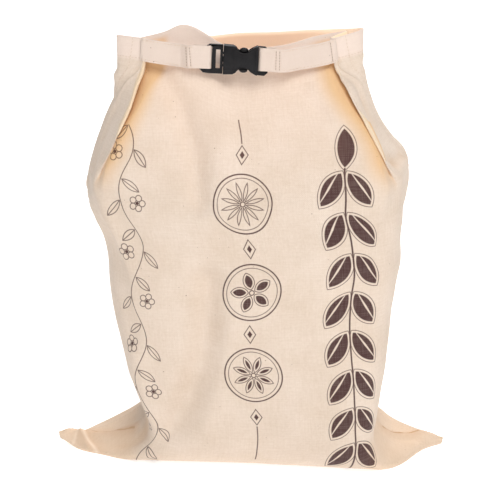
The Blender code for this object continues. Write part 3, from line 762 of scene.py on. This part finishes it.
def petalled(x, y, count):
    """Distance from the middle, and the place out and aside in the nearest of so many petals."""
    radius = span(x, y)
    sector = 2.0 * math.pi / count
    folded = y.worked("ARCTAN2", y, x) % sector - 0.5 * sector
    return radius, radius * folded.worked("COSINE", folded), radius * folded.worked("SINE", folded)


def between(value, low, high):
    """1 from low to high."""
    return inked(low - value) & inked(value - high)


def creased(x, y, ends, half_width):
    """1 on a straight crease seen from above, falling to 0 at the half width."""
    (x0, y0), (x1, y1) = ends
    run = (x1 - x0) ** 2 + (y1 - y0) ** 2
    share = ((x - x0) * ((x1 - x0) / run) + (y - y0) * ((y1 - y0) / run)).clamped(1.0, 0.0)
    away = span(x - x0 - share * (x1 - x0), y - y0 - share * (y1 - y0))
    return away.clamped(-1.0 / half_width, 1.0)


# Print: ornaments of the pattern on the front, placed across and along the cloth in metres

INK = rgb(80, 55, 53)

EAR_AT = 0.088          # large ear of wheat
EAR_FROM, EAR_TO = 0.066, 0.354
EAR_PITCH = 0.036
MEDAL_AT = -0.002       # column of medallions
MEDALS = (0.168, 0.246, 0.324)
MEDAL_RADIUS = 0.0255
VINE_AT = -0.104        # climbing vine
VINE_PITCH = 0.088
VINE_FROM, VINE_TO = 0.024, 0.388


def wheat_print(across, along):
    """One large ear: pairs of kernels up a stalk, each with a light slit and a fine outline."""
    x = across - EAR_AT
    y = (along - EAR_FROM) % EAR_PITCH - 0.5 * EAR_PITCH
    a, b = swung(abs(x) - 0.0125, y + 0.0005, 34.0)
    kernel = seed_shape(a, b, 0.0080, 0.0168)
    solid = inked(kernel) & inked(0.0009 - abs(a - 0.0024) - abs(b) * 0.04)
    edge = line(kernel - 0.0021, 0.0006)
    stalk = inked(abs(x) - 0.0008)
    ear = (solid | edge | stalk) & between(along, EAR_FROM, EAR_TO)
    tip = seed_shape(x, along - (EAR_TO + 0.017), 0.0075, 0.0165)
    tip = inked(tip) | line(tip - 0.0021, 0.0006)
    foot = inked(abs(x) - 0.0008) & between(along, EAR_FROM - 0.050, EAR_FROM)
    return ear | tip | foot


def medal_print(across, along):
    """Medallions: rings round a flower, a star or a sun, and small lozenges between them."""
    drawn = None
    for place, petals, width in zip(MEDALS, (8, 5, 12), (0.0030, 0.0048, 0.0015)):
        radius, out, side = petalled(across - MEDAL_AT, along - place, petals)
        petal = seed_shape(side, out - 0.0108, width, 0.0078)
        parts = [line(radius - MEDAL_RADIUS, 0.0012), line(radius - 0.0222, 0.0006),
                 line(petal, 0.0007), inked(petal + 0.0016), line(radius - 0.0021, 0.0009)]
        for part in parts:
            drawn = part if drawn is None else drawn | part
    x = abs(across - MEDAL_AT)
    for place in (0.126, 0.207, 0.285, 0.366):
        lozenge = x + abs(along - place) * 0.62 - 0.0052
        drawn = drawn | line(lozenge, 0.0009) | inked(lozenge + 0.0030)
    for low, high in ((0.074, 0.116), (0.376, 0.398)):
        drawn = drawn | (inked(x - 0.0005) & between(along, low, high))
    return drawn


def vine_print(across, along):
    """A climbing vine with a leaf and a small flower at each bend."""
    sway = (along - 0.25 * VINE_PITCH).waved(VINE_PITCH)
    x = across - VINE_AT
    drawn = line(x - sway * 0.0075, 0.0008)
    y = (along % (0.5 * VINE_PITCH)) - 0.25 * VINE_PITCH
    x = x * sway.worked("SIGN", sway)
    for shift, rise, lean in ((-0.004, 0.008, -52.0), (0.0132, -0.013, 38.0)):
        a, b = swung(x - shift, y - rise, lean)
        leaf = seed_shape(a, b, 0.0034, 0.0088)
        drawn = drawn | line(leaf, 0.0007) | (inked(abs(a) - 0.00035) & inked(leaf))
    radius, out, side = petalled(x + 0.0090, y + 0.0075, 5)
    petal = span(out - 0.0046, side) - 0.0027
    flower = line(petal, 0.0007) | inked(radius - 0.0015)
    return (drawn | flower) & between(along, VINE_FROM, VINE_TO)


# Materials

WEAVE = 0.00092         # width of a warp and a weft thread
CREAM = rgb(237, 220, 205)
CREAM_DARK = rgb(216, 195, 174)
DOUBLED_SHADE_TONE = rgb(226, 207, 195)      # where the canvas is doubled, drawn greyer and less warm as painted shade for the light that does not come through it
FLECK = rgb(120, 84, 58)
WARM_FOLD_SHADE = rgb(226, 184, 134)        # painted warm shade in the pleats, in hollows near the seams and on the flat ears
# Painted light: the inside and the hem's turned-in layer drawn warmer and brighter for light that comes
# through the cloth
LIT_INSIDE_TONE = rgb(252, 228, 192)
GLOW_TUCKED = (0.035, 0.013, 0.0, 1.0)     # light that comes through the single cloth
GLOW_INSIDE = (0.68, 0.56, 0.39, 1.0)
GLOW_HEM = (0.27, 0.20, 0.19, 1.0)
GLOW_EDGE = (0.090, 0.076, 0.072, 1.0)
GLOW_UPPER = (0.10, 0.048, 0.032, 1.0)     # at the top of the front, where light falls in at the mouth
UPPER_HALF = (0.070, 0.110)                # half width of that, and where it has died away
UPPER_RUN = 0.115                          # run of cloth below the hem over which it dies away
NO_GLOW = (0.0, 0.0, 0.0, 1.0)
# Painted shade and highlight on the flat ears' creases: a dark shadow line, the soft shade beside it and
# a light ridge highlight
CREASE_SHADOW_LINE = rgb(186, 142, 100)
CREASE_SHADE = rgb(214, 176, 142)
CREASE_HIGHLIGHT = rgb(255, 238, 220)
EAR_TOP = 0.036                    # the ears' painted crease shade and highlights stay below this height
EAR_CREASE_SHADING = (                    # painted shade and highlight along the ears' creases, in plan, in metres: two ends, half width, colour, strength
    (((0.127, -0.0195), (0.168, -0.006)), 0.0060, CREASE_SHADE, 0.35),
    (((0.127, -0.0195), (0.168, -0.006)), 0.0010, CREASE_SHADOW_LINE, 0.85),
    (((-0.160, -0.003), (-0.110, -0.026)), 0.0080, CREASE_SHADE, 0.45),
    (((-0.160, -0.003), (-0.110, -0.026)), 0.0010, CREASE_SHADOW_LINE, 0.60),
    (((-0.165, -0.004), (-0.1446, -0.0335)), 0.0110, CREASE_SHADE, 0.40),
    (((-0.165, -0.004), (-0.1446, -0.0335)), 0.0026, CREASE_HIGHLIGHT, 0.50),
    (((-0.172, -0.020), (-0.165, -0.004)), 0.0026, CREASE_HIGHLIGHT, 0.30),
)
GLOW_FADES = 0.18                  # run of cloth below the mouth over which that dies away


def canvas_finish(name, printed=False, lit_through=False, folded=False):
    """Unbleached cotton canvas: plain weave, uneven threads and seed flecks, and as asked painted shade
    in the folds, painted glow for light through the cloth and the ears' painted crease shade and
    highlights.
    """
    finish = Finish(name, roughness=0.9)
    finish.shader.inputs["Specular IOR Level"].default_value = 0.25
    finish.shader.inputs["Sheen Weight"].default_value = 0.12
    finish.shader.inputs["Sheen Roughness"].default_value = 0.5
    where, across, along = finish.cloth_map()
    warp = finish.clouds(where, 1.0, 2.0, (900.0, 46.0, 1.0))
    weft = finish.clouds(where, 1.0, 2.0, (46.0, 900.0, 1.0))
    weave = across.waved(2.0 * WEAVE) * along.waved(2.0 * WEAVE)
    patches = finish.clouds(where, 24.0, 3.0)
    mottle = finish.clouds(where, 420.0, 2.0)
    shade = patches * 0.45 + warp * 0.25 + weft * 0.25 + mottle * 0.30
    base = finish.mixed(shade.clamped(2.1, -0.80), CREAM, CREAM_DARK)
    # Painted light and shade: the inside is drawn warmer and brighter for light that comes through the
    # cloth, and doubled cloth on the straps and at the hem is drawn greyer as painted shade where less
    # light comes through
    if lit_through:
        base = finish.mixed(0.6, base, LIT_INSIDE_TONE)
    elif folded:
        base = finish.mixed(0.7, base, DOUBLED_SHADE_TONE)
    else:
        doubled = abs(along).clamped(400.0, -400.0 * (MOUTH_UP - HEM_DEPTH) * MM)
        base = finish.mixed(doubled * 0.6, base, DOUBLED_SHADE_TONE)
    if not folded:
        # Painted shade: the warm shade colour where the cloth's 'fold' attribute says, in the pleats, in
        # hollows near the seams and on the flat ears
        deep = finish.node("ShaderNodeAttribute", {"attribute_name": "fold"}, None, 2)
        base = finish.mixed(deep * 0.85, base, WARM_FOLD_SHADE)
        if lit_through:
            near_mouth = along.clamped(-1.0 / GLOW_FADES, -(MOUTH_UP * MM - GLOW_FADES) / GLOW_FADES)
            shine = finish.mixed(near_mouth, NO_GLOW, GLOW_INSIDE)
        else:
            # Painted light: the hem's turned-in layer drawn warmer and brighter for light that comes
            # through the cloth
            turned_in = abs(along).clamped(900.0, -900.0 * (MOUTH_UP + 0.8) * MM)
            base = finish.mixed(turned_in * 0.8, base, LIT_INSIDE_TONE)
            upper = along.clamped(1.0 / UPPER_RUN, -(MOUTH_UP - HEM_DEPTH) * MM / UPPER_RUN + 1.0)
            fades = 1.0 / (UPPER_HALF[1] - UPPER_HALF[0])
            upper = upper * abs(across).clamped(-fades, UPPER_HALF[1] * fades)
            plain = finish.mixed(doubled, finish.mixed(upper, NO_GLOW, GLOW_UPPER), GLOW_EDGE)
            rear_hem = along.clamped(-900.0, -900.0 * (MOUTH_UP + 0.8) * MM)
            shine = finish.mixed(rear_hem, finish.mixed(deep, plain, GLOW_TUCKED), GLOW_HEM)
        finish.shader.inputs["Emission Strength"].default_value = 1.0
        finish.feed(emission_color=shine)
    for scale, size, share, strength in ((85.0, 40.0, 0.72, 0.75), (150.0, 30.0, 0.82, 0.6)):
        cells = finish.node("ShaderNodeTexVoronoi", None, {"Vector": where, "Scale": scale})
        lot = Value(finish, cells.socket.node.outputs[1])
        chosen = finish.node("ShaderNodeSeparateColor", None, {0: lot})
        fleck = cells.clamped(-size, 2.2) & chosen.clamped(30.0, -30.0 * share)
        base = finish.mixed(fleck * strength, base, FLECK)
    height = weave * 0.22 + warp * 0.5 + weft * 0.5
    if printed:
        place = finish.node("ShaderNodeTexCoord", None, None, 3)
        x = finish.node("ShaderNodeSeparateXYZ", None, {0: place}, 0)
        y, z = [Value(finish, x.socket.node.outputs[k]) for k in (1, 2)]
        # Painted shade and highlight lines along the ears' creases, on the ears only
        on_ear = z.clamped(-200.0, 200.0 * EAR_TOP)
        for ends, half_width, tone, strength in EAR_CREASE_SHADING:
            base = finish.mixed(creased(x, y, ends, half_width) * on_ear * strength, base, tone)
        drawn = wheat_print(across, along) | medal_print(across, along) | vine_print(across, along)
        worn = (weave * 0.04 + weft * 0.5 + warp * 0.5).clamped(0.35, 0.80)
        base = finish.mixed(drawn * worn, base, INK)
    finish.feed(base_color=base, normal=finish.relief(height, 0.00035, 0.6))
    return finish.material


def plastic_finish():
    """Moulded black acetal, satin, with the faint unevenness of its mould."""
    finish = Finish("black acetal", base_color=rgb(18, 16, 18), roughness=0.34)
    finish.shader.inputs["Specular IOR Level"].default_value = 0.26
    where = finish.node("ShaderNodeTexCoord", None, None, 3)
    spots = finish.clouds(where, 1400.0, 3.0)
    wear = finish.clouds(where, 160.0, 3.0)
    finish.feed(roughness=(wear * 0.22 + spots * 0.10).clamped(1.0, 0.23),
                base_color=finish.mixed(wear.clamped(3.0, -1.3), rgb(18, 16, 18), rgb(30, 27, 28)),
                normal=finish.relief(spots, 0.00004, 0.5))
    return finish.material


def thread_finish(name, light, dark):
    """Twisted cotton sewing thread."""
    finish = Finish(name, roughness=0.8)
    where = finish.node("ShaderNodeTexCoord", None, None, 3)
    twist = finish.clouds(where, 1800.0, 2.0)
    finish.feed(base_color=finish.mixed(twist.clamped(2.0, -0.5), light, dark),
                normal=finish.relief(twist, 0.0001, 0.6))
    return finish.material


# Straps

def turned(points):
    """Points from the buckle's own plane (along, deep, up) to the bag's frame."""
    turn = Matrix.Rotation(math.radians(BUCKLE_TILT), 3, "Y")
    return np.array([turn @ Vector(p) + Vector(BUCKLE_AT) for p in points])


def strap_path(seam_points, turn_at, fold_end):
    """Middle line of a strap: from the seam to the bar, round it and back behind."""
    toward = 1.0 if turn_at > fold_end else -1.0
    bar_half = 0.5 * BAR_DEPTH + TOUCH + 0.5 * WEBBING
    path = [np.array(p) for p in seam_points]
    path.append(turned([(fold_end, -bar_half, 0.0)])[0])
    for k in range(13):
        angle = math.pi * k / 12
        out = turn_at - toward * bar_half + toward * bar_half * math.sin(angle)
        path.append(turned([(out, -bar_half * math.cos(angle), 0.0)])[0])
    path.append(turned([(fold_end + toward * 4.0, bar_half, 0.0)])[0])
    lead = path[len(seam_points)]
    path.append(lead + np.array((toward * 3.0, WEBBING + 0.6, 0.0)))
    return np.array(path)


def strap_section(around):
    """Rounded, slightly pillowed section: (up, out)."""
    half = 0.5 * STRAP_WIDTH
    ring = []
    for k in range(around + 1):
        angle = 2.0 * math.pi * k / around
        across = math.copysign(abs(math.cos(angle)) ** 0.55, math.cos(angle))
        out = math.copysign(abs(math.sin(angle)) ** 0.30, math.sin(angle))
        ring.append((half * across, 0.5 * WEBBING * out))
    ring[-1] = ring[0]
    return np.array(ring)


def build_strap(name, node, seam_points, turn_at, fold_end, rows, finish, seed):
    """A folded canvas strap with sewn edges, pressed in along the rows sewn across it."""
    path = strap_path(seam_points, turn_at, fold_end)
    gaps = np.linalg.norm(np.diff(path, axis=0), axis=1)
    knots = np.concatenate(([0.0], np.cumsum(gaps)))
    places = np.unique(np.concatenate([np.linspace(low, high, max(2, int((high - low) / 0.8)) + 1)
                                       for low, high in zip(knots[:-1], knots[1:])]))
    line_points = smooth(knots, path, places)
    along = np.gradient(line_points, axis=0)
    along /= np.linalg.norm(along, axis=1, keepdims=True)
    tilt = math.radians(BUCKLE_TILT)
    near = 1.0 - ease(LEVELLED[0], LEVELLED[1], np.abs(line_points[:, 0] - BUCKLE_AT[0]))[:, None]
    up = np.array((0.0, 0.0, 1.0)) * (1 - near) + np.array((math.sin(tilt), 0.0, math.cos(tilt))) * near
    line_points = line_points + up * near * STRAP_RISE
    up -= along * np.sum(up * along, axis=1, keepdims=True)
    up /= np.linalg.norm(up, axis=1, keepdims=True)
    out = np.cross(up, along)
    ring = strap_section(44)
    points, maps = [], []
    around = np.concatenate(([0.0], np.cumsum(np.linalg.norm(np.diff(ring, axis=0), axis=1))))
    turn_row = 0.55 * len(places)
    for k, place in enumerate(places):
        sway = 0.35 * noise.noise(Vector((place / 11.0, seed, 0.0)))
        row = []
        for up_at, out_at in ring:
            edge = abs(abs(up_at) - (0.5 * STRAP_WIDTH - 1.7))
            pucker = 0.16 + 0.06 * math.sin(2.0 * math.pi * place / 2.9)
            flat = out_at * (1.0 - pucker / 0.7 * math.exp(-(edge / 0.5) ** 2))
            soft = 0.32 * noise.noise(Vector((place / 6.0, up_at / 7.0, seed + 4.0)))
            for row_at, lean in rows if k < turn_row else ():
                off = line_points[k][0] - row_at - lean * up_at / ROW_REACH
                flat *= 1.0 - 0.60 * math.exp(-(off / 0.8) ** 2)
            row.append(line_points[k] + up[k] * up_at + out[k] * (flat + sway + soft))
        points.append(row)
        maps.append([(a, place) for a in around])
    made = grid_piece(name, np.array(points), np.array(maps), (finish,), weld=1e-6, capped=True)
    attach(made, "root")
    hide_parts(node)
    return places, line_points, along, up, out


# Stitching

STITCH = (2.3, 0.30)    # length and half thickness of one stitch
STITCH_PITCH = 3.0
ROW_STITCH = (2.1, 0.26)
ROW_PITCH = 2.2


def resampled(points, pitch, count=None):
    """Points at even steps along a polyline, or so many of them, with their directions."""
    points = np.asarray(points, float)
    gaps = np.linalg.norm(np.diff(points, axis=0), axis=1)
    knots = np.concatenate(([0.0], np.cumsum(gaps)))
    count = count or max(2, int(knots[-1] / pitch))
    places = (np.arange(count) + 0.5) * knots[-1] / count
    spot = np.stack([np.interp(places, knots, points[:, a]) for a in range(3)], axis=1)
    ahead = np.stack([np.interp(places + 0.4, knots, points[:, a]) for a in range(3)], axis=1)
    return spot, ahead - spot


def sewn(name, seams, finish, pitch=STITCH_PITCH, stitch=STITCH):
    """All stitches as one joined mesh. Each seam: a polyline and the outward way at its points."""
    whole = bmesh.new()
    whole.loops.layers.uv.new("cloth")
    batch = bpy.data.meshes.new("stitch batch")
    for points, ways in seams:
        spots, ahead = resampled(points, pitch)
        sides, _ = resampled(np.asarray(points) + np.asarray(ways), pitch, len(spots))
        for start in range(0, len(spots), 24):
            shape = bmesh.new()
            for k in range(start, min(start + 24, len(spots))):
                way = Vector(sides[k] - spots[k]).normalized()
                run = Vector(ahead[k]).normalized()
                across = way.cross(run).normalized()
                way = run.cross(across)
                size = Vector((0.5 * stitch[0], stitch[1], 0.8 * stitch[1])) * MM
                columns = [axis * reach for axis, reach in zip((run, across, way), size)]
                place = Matrix(columns).transposed().to_4x4()
                place.translation = Vector(spots[k]) * MM
                bmesh.ops.create_uvsphere(shape, u_segments=7, v_segments=5, radius=1.0, matrix=place)
            shape.to_mesh(batch)
            shape.free()
            whole.from_mesh(batch)
    for face in whole.faces:
        face.smooth = True
    bpy.data.meshes.remove(batch)
    made = made_of(name, whole, finish)
    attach(made, "root")


def strap_line(lay, across, first, last):
    """A seam along a strap's front, between two places on its path."""
    places, middle, _, up, out = lay
    held = (places >= first) & (places <= last)
    way = -out[held] * np.sign(out[0][1])
    return middle[held] + up[held] * across + way * (0.5 * WEBBING - 0.12), way


def strap_row(lay, at_x, lean, low=-ROW_REACH, high=ROW_REACH):
    """A row of stitches across a strap's front at a distance x, leaning by so much."""
    _, middle, along, up, out = lay
    k = int(np.argmin(np.abs(middle[:int(len(middle) * 0.55), 0] - at_x)))
    way = -out[k] * np.sign(out[0][1])
    rise = np.linspace(low, high, 7)
    sweep = along[k] * np.sign(along[k][0])
    points = [middle[k] + up[k] * r + sweep * lean * r / high + way * (0.5 * WEBBING - 0.10)
              for r in rise]
    return np.array(points), np.array([way] * len(rise))


def canvas_seams(sheet, up_map):
    """Seams on the body: the hem all round and the two sides."""
    normal = grid_normals(sheet)
    seams = []
    hem = MOUTH_UP - HEM_DEPTH + HEM_SEAM
    for sign in (1.0, -1.0):
        row = int(np.argmin(np.abs(up_map - sign * hem)))
        seams.append((sheet[row] + normal[row] * 0.1, normal[row]))
    rows = slice(0, len(sheet) // 2)
    for side in (2, sheet.shape[1] - 3):
        seams.append((sheet[rows, side] + normal[rows, side] * 0.05, normal[rows, side]))
    return seams


# Buckle

def buckle_lay():
    """From the buckle's own plane to the bag's frame, in millimetres."""
    return Matrix.Translation(BUCKLE_AT) @ Matrix.Rotation(math.radians(BUCKLE_TILT), 4, "Y")


def buckle_half(name, node, finish):
    """A buckle half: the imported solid's form with its edges rounded."""
    lay = buckle_lay()
    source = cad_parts[node]
    source = bpy.data.objects[source] if isinstance(source, str) else source
    shape = bmesh.new()
    shape.from_mesh(source.data)
    shape.transform(source.matrix_world)
    bmesh.ops.remove_doubles(shape, verts=shape.verts[:], dist=1e-5)
    for vert in shape.verts if node == "buckle_plug" else ():
        along, _, up = (lay.inverted() @ (vert.co / MM))
        if along < PLUG_SPAN[0] + 4.0 and up > 5.0:
            vert.co += (lay.to_3x3() @ Vector((1.5, 0.0, -2.3))) * MM
    bmesh.ops.dissolve_limit(shape, angle_limit=math.radians(1.0), verts=shape.verts[:],
                             edges=shape.edges[:])
    for face in shape.faces:
        face.smooth = True
    made = made_of(name, shape, finish)
    rounded = made.modifiers.new("moulded edges", "BEVEL")
    rounded.width = 0.45 * MM
    rounded.segments = 3
    rounded.limit_method = "ANGLE"
    rounded.angle_limit = math.radians(28.0)
    rounded.harden_normals = True
    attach(made, "root")
    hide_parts(node)


def buckle_trim(finish):
    """Raised panel, window lips and ridged thumb buttons on the buckle's front."""
    shape = bmesh.new()
    face = -0.5 * BUCKLE_DEPTH
    for side in (1.0, -1.0):
        size = Matrix.Diagonal((3.6, 1.5, 2.3, 1.0))
        at = Matrix.Translation((BUTTON_AT[0], -1.4, side * BUTTON_AT[1]))
        bmesh.ops.create_uvsphere(shape, u_segments=24, v_segments=14, radius=1.0, matrix=at @ size)
        for k in range(4):
            at = Matrix.Translation((BUTTON_AT[0] - 2.1 + 1.4 * k, -2.1, side * BUTTON_AT[1]))
            size = Matrix.Diagonal((0.34, 0.85, 1.9 - 0.35 * abs(k - 1.5), 1.0))
            bmesh.ops.create_uvsphere(shape, u_segments=10, v_segments=8, radius=1.0,
                                      matrix=at @ size)
    for plate in PANEL_PLATES:
        left, right, low, high, rise = plate
        at = Matrix.Translation((0.5 * (left + right), face - 0.5 * rise + 0.1, 0.5 * (low + high)))
        size = Matrix.Diagonal((right - left, rise + 0.2, high - low, 1.0))
        made = bmesh.ops.create_cube(shape, size=1.0, matrix=at @ size)
        edges = list({edge for vert in made["verts"] for edge in vert.link_edges})
        bmesh.ops.bevel(shape, geom=edges, offset=0.3, affect="EDGES", segments=3, profile=0.5,
                        material=-1)
    for side in (1.0, -1.0):
        lip = bmesh.ops.create_circle(shape, segments=10, radius=0.5)
        stand = Matrix.Translation((LIP_RADIUS, 0.0, 0.0)) @ Matrix.Rotation(0.5 * math.pi, 4, "X")
        start = Matrix.Rotation(math.radians(90.0 * side - 0.5 * LIP_SWEEP), 4, "Z")
        bmesh.ops.transform(shape, matrix=start @ stand, verts=lip["verts"])
        before = set(shape.verts) - set(lip["verts"])
        ring = list({edge for vert in lip["verts"] for edge in vert.link_edges})
        bmesh.ops.spin(shape, geom=lip["verts"] + ring, axis=(0, 0, 1), cent=(0, 0, 0),
                       angle=math.radians(LIP_SWEEP), steps=20, use_duplicate=False)
        swept = [vert for vert in shape.verts if vert not in before]
        ends = [edge for vert in swept for edge in vert.link_edges if edge.is_boundary]
        bmesh.ops.holes_fill(shape, edges=list(set(ends)), sides=0)
        seat = Matrix.Translation((WINDOW_AT[0], face, side * WINDOW_AT[1]))
        flat = Matrix.Rotation(0.5 * math.pi, 4, "X") @ Matrix.Diagonal((1.0, -1.0, 1.0, 1.0))
        bmesh.ops.transform(shape, matrix=seat @ flat, verts=swept)
    bmesh.ops.transform(shape, matrix=Matrix.Scale(MM, 4) @ buckle_lay(), verts=shape.verts[:])
    bmesh.ops.recalc_face_normals(shape, faces=shape.faces[:])
    for facet in shape.faces:
        facet.smooth = True
    made = made_of("buckle_trim", shape, finish)
    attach(made, "root")


# Stage

def build_stage():
    """A plain pale floor and soft studio light."""
    shape = bmesh.new()
    bmesh.ops.create_grid(shape, x_segments=2, y_segments=2, size=6.0)
    pale = Finish("pale floor", base_color=(0.72, 0.72, 0.72, 1.0), roughness=0.9,
                  emission_color=(1.0, 1.0, 1.0, 1.0), emission_strength=0.62)
    made_of("floor", shape, pale.material)

    sky = bpy.data.worlds.new("studio")
    sky.use_nodes = True
    sky.node_tree.nodes["Background"].inputs["Color"].default_value = (1.0, 1.0, 1.0, 1.0)
    sky.node_tree.nodes["Background"].inputs["Strength"].default_value = SKY
    bpy.context.scene.world = sky
    bpy.context.scene.view_settings.view_transform = "Standard"

    for name, place, size, power in LAMPS:
        lamp = bpy.data.lights.new(name, "AREA")
        lamp.shape = "DISK"
        lamp.size = size
        lamp.energy = power
        lit = bpy.data.objects.new(name, lamp)
        lit.location = place
        aim = Vector(LAMPS_AIM) - Vector(place)
        lit.rotation_euler = aim.to_track_quat("-Z", "Y").to_euler()
        bpy.context.scene.collection.objects.link(lit)


def build_camera():
    """The camera of the photograph."""
    seen = bpy.data.cameras.new("camera")
    seen.lens = CAMERA_LENS
    seen.sensor_width = 36.0
    eye = bpy.data.objects.new("camera", seen)
    eye.location = CAMERA_AT
    eye.rotation_euler = (math.radians(90.0 - CAMERA_DOWN), 0.0, 0.0)
    bpy.context.scene.collection.objects.link(eye)
    bpy.context.scene.camera = eye


build_camera()
build_stage()
outside = canvas_finish("canvas front", printed=True)
inside = canvas_finish("canvas inside", lit_through=True)
strap_canvas = canvas_finish("strap canvas", folded=True)
thread = thread_finish("sewing thread", rgb(236, 216, 199), rgb(212, 187, 164))
# Thread of the rows sewn across the straps, drawn darker as painted shade for the shadow in their sewn
# grooves
shaded_row_thread = thread_finish("shade-darkened thread", rgb(184, 160, 140), rgb(136, 112, 96))
plastic = plastic_finish()

canvas = build_canvas(outside, inside)
left_lay = build_strap("strap_left_canvas", "strap_left", STRAP_LEFT, LEFT_TURN, LEFT_FOLD,
                       LEFT_ROWS, strap_canvas, 1.0)
right_lay = build_strap("strap_right_canvas", "strap_right", STRAP_RIGHT, RIGHT_TURN, RIGHT_FOLD,
                        RIGHT_ROWS, strap_canvas, 7.0)
buckle_half("plug_half", "buckle_plug", plastic)
buckle_half("socket_half", "buckle_socket", plastic)
buckle_trim(plastic)

stitches = canvas_seams(*canvas)
cross_rows = []
for lay, sewn_to, rows in ((left_lay, LEFT_SEWN, LEFT_ROWS), (right_lay, RIGHT_SEWN, RIGHT_ROWS)):
    bar = int(np.argmin(np.abs(lay[1][:int(len(lay[1]) * 0.5), 0] - sewn_to)))
    for across in (-EDGE_SEAM, EDGE_SEAM):
        stitches.append(strap_line(lay, across, 1.0, lay[0][bar]))
    for at_x, lean in rows:
        cross_rows.append(strap_row(lay, at_x, lean))
sewn("stitching", stitches, thread)
sewn("strap_rows", cross_rows, shaded_row_thread, ROW_PITCH, ROW_STITCH)
loose = [(np.array(end), np.array([(0.0, -1.0, 0.0)] * len(end))) for end in THREAD_ENDS]
sewn("thread_ends", loose, thread, END_PITCH, END_STITCH)
